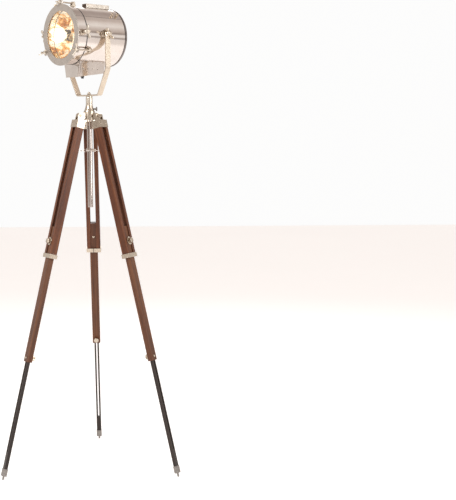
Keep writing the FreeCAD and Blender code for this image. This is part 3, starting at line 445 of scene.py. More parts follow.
PEWTER = cast("pewter", (0.30, 0.28, 0.26), (0.20, 0.18, 0.17), 0.22, 0.45)
# Darker copy of the chrome for the back cover: painted shade on its rolled rim and face.
SHADED_BACK_CHROME = polished("back_chrome_painted_shade", (0.30, 0.26, 0.24), (0.20, 0.17, 0.16), 0.10, 0.24)
BOX_CHROME = polished("box_chrome", (0.66, 0.60, 0.55), (0.56, 0.50, 0.46), 0.08, 0.22, wave=0.1)
HOOD_NICKEL = polished("hood_nickel", (0.74, 0.68, 0.60), (0.62, 0.55, 0.48), 0.16, 0.30)
BLADE = polished("blade", (0.82, 0.70, 0.52), (0.70, 0.56, 0.38), 0.10, 0.25)
# Dark bronze for the hood's open front: painted shade.
SHADE_BRONZE = polished("bronze_painted_shade", (0.20, 0.14, 0.10), (0.12, 0.08, 0.06), 0.25, 0.45)
# Near-black painted shade for screw slots, the collar split, vent holes, hood strips and the lap seam's edge.
SHADOW = black_and_painted_shade("shadow", (0.008, 0.007, 0.006), 0.6, 0.8)


def glass():
    """Clear front glass with faint smears."""
    finish = Finish("glass", Transmission_Weight=1.0, IOR=1.46)
    finish.to("Base Color", finish.mix(finish.noise(14, 3), (1.0, 0.99, 0.96), (0.97, 0.95, 0.90)))
    finish.to("Roughness", finish.ramp(finish.noise(20, 4), (0.4, 0.0), (0.8, 0.05)))
    finish.bump(finish.noise(9, 1), 0.02, 0.002)
    return finish.material


def bulb_glow_and_painted_reflection(name, strength, *stops, scale=26, metallic=0.0):
    """Emission in hot patches among warm, darker ones: the bulb's own light, and on the reflector a painted
    reflection of the burning bulb.
    """
    finish = Finish(name, Metallic=metallic, Roughness=0.2, Emission_Strength=strength)
    patch = finish.noise(scale, 2, stretch=(1, 0.4, 1.7), roughness=0.45, distortion=0.8)
    tone = finish.ramp(patch, *stops)
    finish.to("Emission Color", tone)
    finish.to("Base Color", tone)
    finish.bump(finish.noise(70, 2), 0.4, 0.002)
    return finish.material


GLASS = glass()
# Reflector's emission: painted reflection of the bulb in warm and hot patches.
PAINTED_REFLECTOR_GLOW = bulb_glow_and_painted_reflection("mirror_painted_reflection", 0.9, (0.38, (0.42, 0.17, 0.04)), (0.44, (0.80, 0.42, 0.13)),
                 (0.50, (1.0, 0.72, 0.34)), (0.53, (1.0, 0.95, 0.76)), (0.66, (1.0, 0.98, 0.90)),
                 metallic=0.6)
BULB = bulb_glow_and_painted_reflection("bulb_glow", 3.2, (0.3, (1.0, 0.86, 0.58)), (0.7, (1.0, 0.95, 0.80)), scale=30)


# ---------------------------------------------------------------- tripod

def across(matrix, place, out):
    """Frame at a place in another frame, with its X axis along a direction of that frame."""
    x = Vector(out).normalized()
    y = x.orthogonal().normalized()
    return matrix @ axes_matrix(Vector(place), x, y, x.cross(y))


def knob(node, matrix, height, side):
    """Knurled clamp knob on its bolt, with a small domed nut on the leg's far side."""
    low, high = local_box(node, matrix)
    near, far = (low.y, high.y) if side > 0 else (-high.y, -low.y)
    radius = 10 * MM
    start = far - 13 * MM
    profile = [(start, 0), (start, 0.62), (start + 0.6 * MM, 0.78), (start + 2 * MM, 0.8),
               (start + 3 * MM, 0.95), (start + 3.6 * MM, 1), (far - 2.2 * MM, 1), (far - 1.2 * MM, 0.95),
               (far - 0.5 * MM, 0.86), (far - 0.9 * MM, 0.7), (far - 1.1 * MM, 0.4), (far - 1.1 * MM, 0)]
    grip = lathe([(x, share * radius) for x, share in profile], 144,
                 ripple=lambda angle, index: 1 - (0.035 * (1 + math.cos(36 * angle)) if index in (5, 6) else 0))
    bolt = lathe([(near + 1 * MM, 0), (near + 1 * MM, 2.5 * MM), (start, 2.5 * MM), (start, 0)], 24)
    nut = lathe([(near, 0), (near, 1.6 * MM), (near + 0.6 * MM, 3.4 * MM), (near + 1.6 * MM, 4.4 * MM),
                 (near + 3 * MM, 4.5 * MM), (near + 3 * MM, 0)], 32)
    parts = [grip, bolt, nut]
    if side > 0:
        flange = lathe([(start, 0), (start, 14.6 * MM), (start + 0.4 * MM, 15 * MM),
                        (start + 1.5 * MM, 15 * MM), (start + 2 * MM, 14.4 * MM), (start + 2 * MM, 0)], 64)
        parts.append(flange)
    place = across(matrix, (0, 0, height), (0, side, 0))
    piece = to_object(f"{node}_detail", joined(*parts), place)
    return even_normals(dress(piece, node, NICKEL, replaces=True))


def screw_head(radius, rise):
    """Domed screw head with a slot bar, which takes painted shade, standing on X = 0."""
    dome = lathe([(-0.2 * MM, 0), (-0.2 * MM, radius), (rise * 0.3, radius), (rise * 0.75, radius * 0.75),
                  (rise, radius * 0.3), (rise, 0)], 24)
    slot = add_bar(bmesh.new(), (rise * 0.62, -radius * 0.8, -radius * 0.09),
                   (rise * 1.02, radius * 0.8, radius * 0.09), 0.02 * MM, 1)
    return dome, slot


def screws(name, node, matrix, places, out, radius=2.6 * MM, rise=1.1 * MM, material=None):
    """Row of screws on a face; places are in the matrix's frame and out is the face's normal."""
    domes, shade_strips = [], []
    for place in places:
        spot = across(Matrix.Identity(4), place, out)
        dome, slot = screw_head(radius, rise)
        domes.append((dome, spot))
        shade_strips.append((slot, spot))
    heads = to_object(f"{name}_heads", joined(*domes), matrix)
    dress(heads, node, material or NICKEL)
    even_normals(heads)
    # Slot bars in the shadow material: painted shade in the screw slots.
    cuts = to_object(f"{name}_slots", joined(*shade_strips), matrix)
    dress(cuts, node, SHADOW)


def leg(name):
    """One leg: wood in the leg's own frame, cap, collar, knobs, foot and chain."""
    matrix = leg_matrix(name)
    recast(f"slats_{name}", matrix, WOOD, 1.1 * MM)
    recast(f"middle_stage_{name}", matrix, MIDDLE_WOOD, 0.9 * MM)
    recast(f"lower_stage_{name}", matrix, DARK_WOOD, 0.7 * MM)
    fittings = f"leg_fittings_{name}"
    recast(fittings, matrix, NICKEL, 0.7 * MM)
    recast(f"foot_{name}", matrix, PEWTER, 0)
    recast(f"chain_{name}", matrix, CHROME, 0)
    upper = Vector(JOINTS[f"upper_knob_turn_{name}"]["pos_m"])
    lower = Vector(JOINTS[f"lower_knob_turn_{name}"]["pos_m"])
    back = matrix.inverted()
    knob(f"upper_knob_{name}", matrix, (back @ upper).z, 1)
    knob(f"lower_knob_{name}", matrix, (back @ lower).z, -1)
    low, high = local_box(fittings, matrix)
    cap_side = 0.0155
    level = -0.0335
    for side in (1, -1):
        screws(f"cap_screws_{name}_{'outer' if side > 0 else 'inner'}", fittings, matrix,
               [(-0.0175, side * cap_side, level), (0.0175, side * cap_side, level)], (0, side, 0))
    half = 0.0165
    # Dark bar in the collar's split: painted shade in the gap.
    split = add_bar(bmesh.new(), (-0.0011, -half - 0.0001, low.z + 0.0002),
                    (0.0011, -half + 0.002, low.z + 0.0158), 0.05 * MM, 1)
    dress(to_object(f"collar_split_{name}", split, matrix), fittings, SHADOW)
    screws(f"collar_screws_{name}", fittings, matrix,
           [(-0.006, -half, low.z + 0.008), (0.006, -half, low.z + 0.008)], (0, -1, 0), 1.7 * MM, 0.7 * MM)


def hexagon(radius):
    return [(radius * math.cos(math.radians(60 * i + 30)), radius * math.sin(math.radians(60 * i + 30)))
            for i in range(6)]


def hex_nut(radius, height):
    """Hexagon nut along X with chamfered faces."""
    return prism(hexagon(radius), 0, height, min(height, radius) * 0.09, axes=(1, 2, 0))


def pivots():
    """Hexagon heads and nuts of the three leg bolts."""
    parts = []
    for name in LEGS:
        matrix = leg_matrix(name)
        for side in (1, -1):
            start = 13.1 * MM
            spot = across(matrix, (side * start, 0, 0), (side, 0, 0))
            washer = lathe([(0, 0), (0, 7.0 * MM), (0.9 * MM, 7.0 * MM), (0.9 * MM, 0)], 40)
            parts.append((washer, spot))
            raised = spot @ Matrix.Translation((0.9 * MM, 0, 0))
            parts.append((hex_nut(6.2 * MM, 2.8 * MM), raised))
            end = lathe([(2.8 * MM, 0), (2.8 * MM, 3.4 * MM), (3.2 * MM, 2.6 * MM), (3.4 * MM, 0)], 24)
            parts.append((end, raised))
        shank = lathe([(-start, 0), (-start, 4 * MM), (start, 4 * MM), (start, 0)], 32)
        parts.append((shank, across(matrix, (0, 0, 0), (1, 0, 0))))
    piece = to_object("leg_bolt_detail", joined(*parts), Matrix.Identity(4))
    even_normals(dress(piece, "leg_bolts", NICKEL, replaces=True))


def tube_along_z(profile, segments=96):
    """Lathe about Z from (height, radius) points."""
    bm = lathe(profile, segments)
    bm.transform(Matrix.Rotation(math.radians(-90), 4, "Y"))
    return bm


def column():
    """Polished column tube with its rolled end, the yoke's socket and bolt."""
    low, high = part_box("column_tube")
    radius = high.x
    end = low.z
    tube = tube_along_z([(end + 30 * MM, radius - 1.5 * MM), (end + 0.6 * MM, radius - 1.5 * MM),
                         (end, radius - 1.1 * MM), (end, radius - 0.4 * MM), (end + 0.5 * MM, radius),
                         (end + 11 * MM, radius), (end + 11.4 * MM, radius - 0.35 * MM),
                         (end + 12.2 * MM, radius - 0.35 * MM), (end + 12.6 * MM, radius), (high.z, radius)])
    even_normals(dress(to_object("column_tube_detail", tube, Matrix.Identity(4)), "column_tube", CHROME, True))
    low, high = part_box("yoke_socket")
    radius = high.x
    bottom, top = low.z, high.z
    socket = tube_along_z([(bottom, 10.4 * MM), (bottom, radius - 0.5 * MM), (bottom + 0.6 * MM, radius),
                           (bottom + 7.5 * MM, radius), (bottom + 8.2 * MM, radius - 0.9 * MM),
                           (bottom + 9.6 * MM, radius - 0.9 * MM), (bottom + 10.4 * MM, radius - 0.1 * MM),
                           (top - 6 * MM, radius - 0.3 * MM), (top - 5 * MM, radius - 1 * MM),
                           (top - 3.6 * MM, radius - 1 * MM), (top - 3 * MM, radius),
                           (top - 0.5 * MM, radius), (top, radius - 0.6 * MM), (top, 5 * MM)])
    even_normals(dress(to_object("yoke_socket_detail", socket, Matrix.Identity(4)), "yoke_socket",
                       PALE_NICKEL, True))
    low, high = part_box("yoke_bolt")
    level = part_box("yoke")[0].z + 5.3 * MM
    up = across(Matrix.Identity(4), (0, 0, level), (0, 0, 1))
    washer = lathe([(0, 0), (0, 7.8 * MM), (1 * MM, 7.8 * MM), (1 * MM, 0)], 48)
    nut = hex_nut(7.4 * MM, 4 * MM)
    dome = lathe([(5 * MM, 0), (5 * MM, 5 * MM), (7.2 * MM, 4.8 * MM), (9 * MM, 4 * MM),
                  (10.6 * MM, 2.4 * MM), (11.3 * MM, 0)], 32)
    shank = lathe([(-17 * MM, 0), (-17 * MM, 5 * MM), (0, 5 * MM), (0, 0)], 32)
    raised = up @ Matrix.Translation((1 * MM, 0, 0))
    bolt = joined((washer, up), (nut, raised), (dome, up), (shank, up))
    even_normals(dress(to_object("yoke_bolt_detail", bolt, Matrix.Identity(4)), "yoke_bolt", NICKEL, True))


def thumb_screw():
    low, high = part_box("column_screw")
    spot = across(Matrix.Identity(4), (0, 0, (low.z + high.z) / 2), (1, 0, 0))
    end, start, radius = high.x, low.x, (high.z - low.z) / 2
    head = lathe([(end - 5 * MM, 0), (end - 5 * MM, radius * 0.7), (end - 4.4 * MM, radius * 0.96),
                  (end - 3.9 * MM, radius), (end - 1 * MM, radius), (end - 0.4 * MM, radius * 0.95),
                  (end, radius * 0.82), (end - 0.5 * MM, radius * 0.6), (end - 0.6 * MM, 0)], 120,
                 ripple=lambda angle, index: 1 - (0.03 * (1 + math.cos(30 * angle)) if index in (3, 4) else 0))
    shank = lathe([(start, 0), (start, 3 * MM), (end - 8 * MM, 3 * MM), (end - 7 * MM, 4 * MM),
                   (end - 5 * MM, 4.4 * MM), (end - 5 * MM, 0)], 32)
    piece = to_object("column_screw_detail", joined(head, shank), spot)
    even_normals(dress(piece, "column_screw", PEWTER, True))


for leg_name in LEGS:
    leg(leg_name)
pivots()
column()
thumb_screw()
recast("hub", Matrix.Identity(4), NICKEL, 1.0 * MM)
recast("chain_ring", Matrix.Identity(4), CHROME, 0)


# ---------------------------------------------------------------- yoke and tilt pivots

def yoke():
    """Flat strap bent to a U with rounded bends and rounded ends."""
    low, high = local_box("yoke", LAMP)
    half, bottom, width = high.y - 2.5 * MM, low.z + 2.5 * MM, (high.x - low.x) / 2
    knee, foot = -0.126, 0.0662
    bend = rounded([Vector((0, half, -0.02)), Vector((0, half, knee)), Vector((0, foot, bottom)),
                    Vector((0, -foot, bottom)), Vector((0, -half, knee)), Vector((0, -half, -0.02))],
                   0.008, 8)
    steps = [math.cos(math.radians(angle)) for angle in range(2, 91, 8)]
    near = [Vector((0, half, width * step)) for step in steps]
    far = [Vector((0, -half, width * step)) for step in reversed(steps)]
    path = near + bend + far
    ends = [math.sqrt(max(0.0, 1 - step * step)) for step in steps]
    widths = ends + [1] * len(bend) + ends[::-1]
    thick, edge = 2.5 * MM, 0.6 * MM
    section = [(-thick, width - edge), (-thick + edge, width), (thick - edge, width), (thick, width - edge),
               (thick, -width + edge), (thick - edge, -width), (-thick + edge, -width), (-thick, -width + edge)]
    bm = sweep(path, section, up=Vector((1, 0, 0)), widths=widths)
    piece = to_object("yoke_strap", bm, LAMP, 30)
    even_normals(dress(piece, "yoke", STRAP, True))


def thread(start, end, radius, pitch=1.25 * MM):
    """Profile of a threaded end as a row of small ridges."""
    points = []
    x = start
    while x < end - pitch:
        points += [(x, radius), (x + pitch * 0.5, radius - 0.35 * MM)]
        x += pitch
    return points + [(end - 0.6 * MM, radius), (end, radius - 0.7 * MM), (end, 0)]


def tilt_pivots():
    """Stacked discs between drum and strap, washer outside it and a threaded stud."""
    parts = []
    low, high = local_box("tilt_bosses", LAMP)
    for side in (1, -1):
        spot = across(Matrix.Identity(4), (0, 0, 0), (0, side, 0))
        skin = DRUM_RADIUS
        inner = skin + 10.7 * MM
        stack = lathe([(skin - 6 * MM, 0), (skin - 6 * MM, 16 * MM), (skin + 2 * MM, 16.5 * MM),
                       (skin + 2.7 * MM, 15.8 * MM), (skin + 2.9 * MM, 13.4 * MM),
                       (skin + 3.7 * MM, 13.4 * MM), (skin + 3.9 * MM, 15 * MM),
                       (skin + 4.5 * MM, 15.4 * MM), (skin + 6.3 * MM, 15.4 * MM),
                       (skin + 6.9 * MM, 14.8 * MM), (skin + 7 * MM, 12.8 * MM),
                       (skin + 7.7 * MM, 12.8 * MM), (skin + 7.9 * MM, 15.8 * MM),
                       (skin + 8.5 * MM, 16.4 * MM), (inner - 0.4 * MM, 16.4 * MM),
                       (inner, 15.9 * MM), (inner, 0)], 96)
        outer = inner + 5.6 * MM
        washer = lathe([(outer, 5 * MM), (outer, 13.6 * MM), (outer + 0.0005, 14 * MM),
                        (outer + 0.0013, 14 * MM), (outer + 0.0016, 13.2 * MM), (outer + 0.0017, 12 * MM),
                        (outer + 0.0018, 10.6 * MM), (outer + 0.0027, 10.2 * MM), (outer + 0.003, 9.6 * MM),
                        (outer + 0.003, 5 * MM)], 72)
        stud = lathe([(inner - 0.001, 0), (inner - 0.001, 5 * MM), (outer + 0.004, 5 * MM)]
                     + thread(outer + 0.005, high.y, 5 * MM), 40)
        parts += [(stack, spot), (washer, spot), (stud, spot)]
    piece = to_object("tilt_boss_detail", joined(*parts), LAMP)
    even_normals(dress(piece, "tilt_bosses", NICKEL, True))


def side_studs():
    """Domed bases with barrels on both sides of the front section."""
    low, high = local_box("side_studs", LAMP)
    middle = (low.x + high.x) / 2
    parts = []
    for side in (1, -1):
        spot = across(Matrix.Identity(4), (middle, 0, 0), (0, side, 0))
        skin = DRUM_RADIUS
        body = lathe([(skin - 5 * MM, 0), (skin - 5 * MM, 12 * MM), (skin + 0.7 * MM, 12 * MM),
                      (skin + 2.9 * MM, 11.5 * MM), (skin + 4.5 * MM, 10.4 * MM),
                      (skin + 5.3 * MM, 9.2 * MM), (skin + 5.9 * MM, 8.6 * MM), (skin + 6.7 * MM, 8.6 * MM),
                      (skin + 7.3 * MM, 9.3 * MM), (skin + 8.1 * MM, 9.5 * MM), (skin + 27 * MM, 9.5 * MM),
                      (skin + 28 * MM, 9.2 * MM), (skin + 28.7 * MM, 8.6 * MM),
                      (skin + 29.5 * MM, 7.9 * MM), (skin + 29.5 * MM, 4 * MM)]
                     + thread(skin + 30.5 * MM, high.y, 4 * MM), 80)
        parts.append((body, spot))
    piece = to_object("side_stud_detail", joined(*parts), LAMP)
    even_normals(dress(piece, "side_studs", NICKEL, True))


def nut_matrix(node, out):
    """Frame on a wing nut's seat: X out along its axis, Z along its wings."""
    centre = Vector(JOINTS[node.replace("_nut_", "_nut_turn_")]["pos_m"])
    arms = [vertex.co - centre for vertex in frame["nodes"][node].data.vertices]
    base = min(arm.dot(out) for arm in arms)
    reach = max((arm - out * arm.dot(out) for arm in arms), key=lambda arm: arm.length)
    wing = reach - out * reach.dot(out)
    tips = [arm for arm in arms if (arm - out * arm.dot(out)).length > wing.length * 0.97]
    same = [arm - out * arm.dot(out) for arm in tips if arm.dot(wing) > 0]
    wing = sum(same, Vector()).normalized()
    return axes_matrix(centre + out * base, out, wing.cross(out), wing)


def wing_nut(node, out, hub_radius, hub_length, span, height, tip, neck):
    """Cast butterfly nut: flared hub and two paddle ears, blended as one casting."""
    matrix = nut_matrix(node, out)
    hub = lathe([(0, 0), (0, hub_radius), (hub_length * 0.16, hub_radius), (hub_length * 0.3, hub_radius * 0.9),
                 (hub_length * 0.62, hub_radius * 0.76), (hub_length * 0.94, hub_radius * 0.7),
                 (hub_length, hub_radius * 0.6), (hub_length, 0)], 48)
    half = span / 2 - tip
    ears = []
    for side in (1, -1):
        outline = [(0, hub_length * 0.12), (hub_radius * 0.9, hub_length * 0.2)]
        outline += [(half * 0.62, height * (0.46 - neck))]
        for angle in range(-70, 171, 20):
            outline.append((half + tip * math.cos(math.radians(angle)),
                            height - tip + tip * math.sin(math.radians(angle))))
        outline += [(half * 0.66, height * (0.46 + neck)), (hub_radius * 0.9, hub_length * 0.74),
                    (0, hub_length * 0.8)]
        ears.append(prism([(z * side, x) for z, x in outline], -1.9 * MM, 1.9 * MM, 0.8 * MM, axes=(2, 0, 1)))
    piece = to_object(f"{node}_casting", joined(hub, *ears), matrix, 180)
    remesh = piece.modifiers.new("cast", "REMESH")
    remesh.mode = "VOXEL"
    remesh.voxel_size = 0.55 * MM
    remesh.use_smooth_shade = True
    smooth = piece.modifiers.new("smooth", "SMOOTH")
    smooth.factor = 0.5
    smooth.iterations = 5
    return dress(piece, node, PALE_NICKEL, True)


def swing_bolt(name):
    """Swing bolt: rounded eye on its pin and a shank with a threaded end."""
    node = f"swing_bolt_{name}"
    matrix = clock(CLAMPS[name])
    low, high = local_box(node, matrix)
    eye_radius = 6 * MM
    height = (low.y + high.y) / 2
    pin = low.x + eye_radius
    width = high.z
    eye = lathe([(-width, 2.7 * MM), (-width, eye_radius * 0.8), (-width * 0.7, eye_radius * 0.96),
                 (-width * 0.3, eye_radius), (width * 0.3, eye_radius), (width * 0.7, eye_radius * 0.96),
                 (width, eye_radius * 0.8), (width, 2.7 * MM)], 48, closed=True)
    shank = lathe([(pin + 4.6 * MM, 0), (pin + 4.6 * MM, 3.6 * MM), (pin + 7 * MM, 3.1 * MM),
                   (pin + 9 * MM, 2.9 * MM), (-0.012, 2.9 * MM)] + thread(-0.011, high.x, 3 * MM, 1 * MM), 32)
    parts = [(eye, across(Matrix.Identity(4), (pin, height, 0), (0, 0, 1))),
             (shank, Matrix.Translation((0, height, 0)))]
    piece = to_object(f"{node}_detail", joined(*parts), matrix)
    even_normals(dress(piece, node, NICKEL, True))


yoke()
tilt_pivots()
side_studs()
FORWARD = (DRUM.to_3x3() @ Vector((1, 0, 0))).normalized()
LEFTWARD = (DRUM.to_3x3() @ Vector((0, 1, 0))).normalized()
for clamp_name in CLAMPS:
    swing_bolt(clamp_name)
    wing_nut(f"clamp_nut_{clamp_name}", FORWARD, 6.5 * MM, 9 * MM, 48 * MM, 14 * MM, 4.4 * MM, 0.2)
for side_name, side_sign in SIDES.items():
    for kind in ("side", "pivot"):
        wing_nut(f"{kind}_nut_{side_name}", LEFTWARD * side_sign, 9 * MM, 12 * MM, 49 * MM, 15 * MM, 6.6 * MM, 0.4)
recast("clamp_lugs", DRUM, NICKEL, 0.7 * MM)


# ---------------------------------------------------------------- head

SEAM_ANGLE = 38


def casing(name, node, profile, material, segments=192):
    """Closed turned shell round the beam from (setback, radius) points."""
    bm = lathe([(-setback, radius) for setback, radius in profile], segments, closed=True)
    piece = to_object(name, bm, DRUM, 28)
    return even_normals(dress(piece, node, material, True))


def head_shells():
    """Front rim, black seam, drum and pressed back cover."""
    outer = DRUM_RADIUS
    inner = outer - WALL
    front = 0.004
    seam = 0.043
    start = 0.046
    end = start + 0.172
    back = end + 0.011
    casing("rim_shell", "front_rim", [
        (front, outer - 0.0139), (front, outer - 0.0004), (front + 0.0004, outer), (seam - 0.0006, outer),
        (seam, outer - 0.0006), (seam, inner), (front + 0.0064, inner), (front + 0.0062, outer - 0.0185),
        (front + 0.0042, outer - 0.0185), (front + 0.0042, outer - 0.0139)], CHROME)
    casing("seam_band", "gasket", [
        (seam, inner), (seam, outer + 0.0003), (seam + 0.0004, outer + 0.0006),
        (start - 0.0004, outer + 0.0006), (start, outer + 0.0003), (start, inner)], BLACK)
    casing("drum_shell", "drum", [
        (start, inner), (start, outer - 0.0006), (start + 0.0006, outer),
        (end - 0.0006, outer), (end, outer - 0.0006), (end, inner)], CHROME)
    casing("back_shell", "rear_cover", [
        (end, inner), (end, outer - 0.0008), (end + 0.0008, outer - 0.0008), (end + 0.0012, outer - 0.0012),
        (end + 0.0016, outer + 0.0006), (end + 0.0028, outer + 0.0014), (end + 0.005, outer + 0.0015),
        (end + 0.0075, outer + 0.0012), (end + 0.0092, outer + 0.0002), (end + 0.0104, outer - 0.002),
        (back, outer - 0.0046), (back, outer - 0.012), (back - 0.0008, outer - 0.0138),
        (back - 0.0028, outer - 0.0152), (back - 0.0032, outer - 0.018), (back - 0.0030, outer - 0.045),
        (back - 0.0022, outer - 0.049), (back - 0.0010, outer - 0.051), (back - 0.0008, outer - 0.056),
        (back - 0.0008, 0.008), (back - 0.0023, 0.008), (back - 0.0045, outer - 0.045),
        (back - 0.0045, outer - 0.016), (back - 0.002, inner - 0.001), (end + 0.002, inner)], SHADED_BACK_CHROME)
    # Black ring where the drum meets the back cover: painted shadow in the seam.
    shadow = lathe([(-end + 0.0004, outer - 0.0004), (-end + 0.0004, outer + 0.0003),
                    (-end - 0.0018, outer + 0.0003), (-end - 0.0018, outer - 0.0004)], 192, closed=True)
    dress(to_object("back_seam", shadow, DRUM), "rear_cover", BLACK)
    seams = []
    for first, last in ((-seam + 0.0002, -front - 0.0005), (-end + 0.0002, -start - 0.0002)):
        fold = add_bar(bmesh.new(), (first, outer - 0.0004, -0.0011), (last, outer + 0.00035, 0.0011),
                       0.15 * MM, 1)
        seams.append((fold, Matrix.Rotation(math.radians(SEAM_ANGLE), 4, "X")))
    lap = to_object("lap_seam", joined(*seams), DRUM)
    even_normals(dress(lap, "drum", CHROME))
    edges = []
    for first, last in ((-seam + 0.0002, -front - 0.0005), (-end + 0.0002, -start - 0.0002)):
        line = add_bar(bmesh.new(), (first, outer - 0.0004, -0.0019), (last, outer + 0.00012, -0.0011),
                       0.05 * MM, 1)
        edges.append((line, Matrix.Rotation(math.radians(SEAM_ANGLE), 4, "X")))
    dress(to_object("lap_shadow", joined(*edges), DRUM), "drum", SHADOW)
    places = [(-back + 0.0008, 0.034 * math.cos(math.radians(angle)), 0.034 * math.sin(math.radians(angle)))
              for angle in (90, 210, 330)]
    screws("back_screws", "rear_cover", DRUM, places, (-1, 0, 0), 3.2 * MM, 1.6 * MM)


def optics():
    """Glass, hammered reflector with painted warm reflection, blades, bulb and holder."""
    low, high = local_box("front_glass", DRUM)
    radius = high.z
    pane = lathe([(low.x, 0), (low.x, radius - 0.0006), (low.x + 0.0006, radius), (high.x - 0.0006, radius),
                  (high.x, radius - 0.0006), (high.x, 0)], 128)
    even_normals(dress(to_object("front_pane", pane, DRUM), "front_glass", GLASS, True))
    low, high = local_box("reflector", DRUM)
    rim = DRUM_RADIUS - WALL - 0.009
    depth = 0.056
    sphere = (rim * rim + depth * depth) / (2 * depth)
    dish = []
    for step in range(25):
        size = 0.021 + (rim - 0.021) * step / 24
        sag = sphere - math.sqrt(sphere * sphere - size * size)
        dish.append((high.x - depth + sag, size))
    dish = dish + [(high.x - 0.0006, rim + 0.0025), (high.x - 0.0004, high.z - 0.0002)]
    behind = [(x - 0.0011, size) for x, size in reversed(dish)]
    # Reflector dish carrying the painted reflection emission.
    even_normals(dress(to_object("reflector_dish", lathe(dish + behind, 128, closed=True), DRUM),
                       "reflector", PAINTED_REFLECTOR_GLOW, True))
    recast("louvre_blades", DRUM, BLADE, 0)
    low, high = local_box("bulb", DRUM)
    size = high.z
    centre = high.x - size
    globe = [(centre + size * math.cos(math.radians(angle)), size * math.sin(math.radians(angle)))
             for angle in range(0, 151, 6)]
    globe += [(centre - size * 0.98, size * 0.44), (low.x, size * 0.433), (low.x, 0)]
    even_normals(dress(to_object("bulb_globe", lathe(globe, 64), DRUM), "bulb", BULB, True))
    recast("lamp_holder", DRUM, BLACK, 0.8 * MM)


def box_details():
    """Sheet-metal base box: folded corner flanges, top flange, vent eyelets each with a dark disc of painted shade
    for its hole, and screws.
    """
    recast("base_box", DRUM, BOX_CHROME, 0.5 * MM)
    low, high = local_box("base_box", DRUM)
    front, back = high.x, low.x
    top, bottom = 0.05, 0.036
    drum_edge = -math.sqrt(DRUM_RADIUS ** 2 - top ** 2)
    base = -(DRUM_RADIUS + 0.047)
    start = drum_edge - 0.004

    def half(z):
        share = (z - base) / (drum_edge - base)
        return bottom + (top - bottom) * share

    strips, hole_shades, heads = [], [], []
    for side in (1, -1):
        lean = math.atan2(top - bottom, drum_edge - base)
        out = Vector((0, math.cos(lean), -math.sin(lean)))
        if side < 0:
            out.y = -out.y
        along = Vector((1, 0, 0))
        down = along.cross(out)

        def on_side(x, z):
            return Vector((x, side * half(z), z))

        def strip(x, z, length, height, rise):
            spot = on_side(x, z)
            matrix = axes_matrix(spot, along, out, down)
            bm = add_bar(bmesh.new(), (-length / 2, -0.0004, -height / 2), (length / 2, rise, height / 2),
                         0.25 * MM, 1)
            strips.append((bm, matrix))

        strip(front - 0.0042, (start + base) / 2 + 0.001, 0.0052, abs(base - start) - 0.004, 0.0009)
        strip(front - 0.0108, (start + base) / 2 + 0.001, 0.0016, abs(base - start) - 0.004, 0.0007)
        strip((front + back) / 2, start - 0.0005, front - back - 0.004, 0.0075, 0.001)
        for index in range(4):
            x = front - 0.022 - 0.022 * index
            z = -0.1225
            spot = across(Matrix.Identity(4), on_side(x, z), out)
            size = (2.9 if index == 0 else 1.9) * MM
            eyelet = lathe([(-0.0002, size * 0.6), (0.0005, size * 0.62), (0.0006, size * 0.8),
                            (0.0004, size), (-0.0002, size * 1.04)], 32)
            # Dark disc in each eyelet: painted shade in the vent hole.
            hole = lathe([(-0.0002, 0), (0.00025, 0), (0.00025, size * 0.66), (-0.0002, size * 0.66)], 24)
            strips.append((eyelet, spot))
            hole_shades.append((hole, spot))
        screws(f"box_flange_screws_{'left' if side > 0 else 'right'}", "base_box", DRUM,
               [on_side(x, start - 0.0005) + out * 0.001 for x in (front - 0.0125, (front + back) / 2, back + 0.0125)], out,
               2.3 * MM, 1.2 * MM)
    lip = add_bar(bmesh.new(), (front - 0.0006, -bottom - 0.001, base + 0.0006),
                  (front + 0.0006, bottom + 0.001, base + 0.0032), 0.3 * MM, 1)
    strips.append((lip, Matrix.Identity(4)))
    detail = to_object("box_flanges", joined(*strips), DRUM)
    even_normals(dress(detail, "base_box", BOX_CHROME))
    dress(to_object("box_holes", joined(*hole_shades), DRUM), "base_box", SHADOW)


def gland():
    """Ribbed black gland with a hexagon body in the box's floor."""
    box_low, box_high = local_box("base_box", DRUM)
    slope = math.atan2(0.017, 0.12)
    setback = 0.034
    out = Vector((-math.sin(slope), 0, -math.cos(slope)))
    centre = Vector((box_high.x - setback, 0.02, -DRUM_RADIUS - 0.047 + math.tan(slope) * setback))
    spot = across(Matrix.Identity(4), centre, out)
    body = prism(hexagon(7.3 * MM), 0, 4 * MM, 0.5 * MM)
    dome = [(3.9 * MM, 2.5 * MM), (3.9 * MM, 5 * MM)]
    for rib in range(4):
        dome += [((4.4 + rib) * MM, 5 * MM), ((4.9 + rib) * MM, 4.7 * MM)]
    dome += [(8.6 * MM, 4.6 * MM), (9 * MM, 4.1 * MM), (9 * MM, 2.5 * MM), (-4 * MM, 2.5 * MM),
             (-4 * MM, 4 * MM), (0, 4 * MM), (0, 2.5 * MM)]
    piece = to_object("gland_detail", joined((body, spot), (lathe(dome, 48), spot)), DRUM)
    even_normals(dress(piece, "cable_gland", BLACK, True))


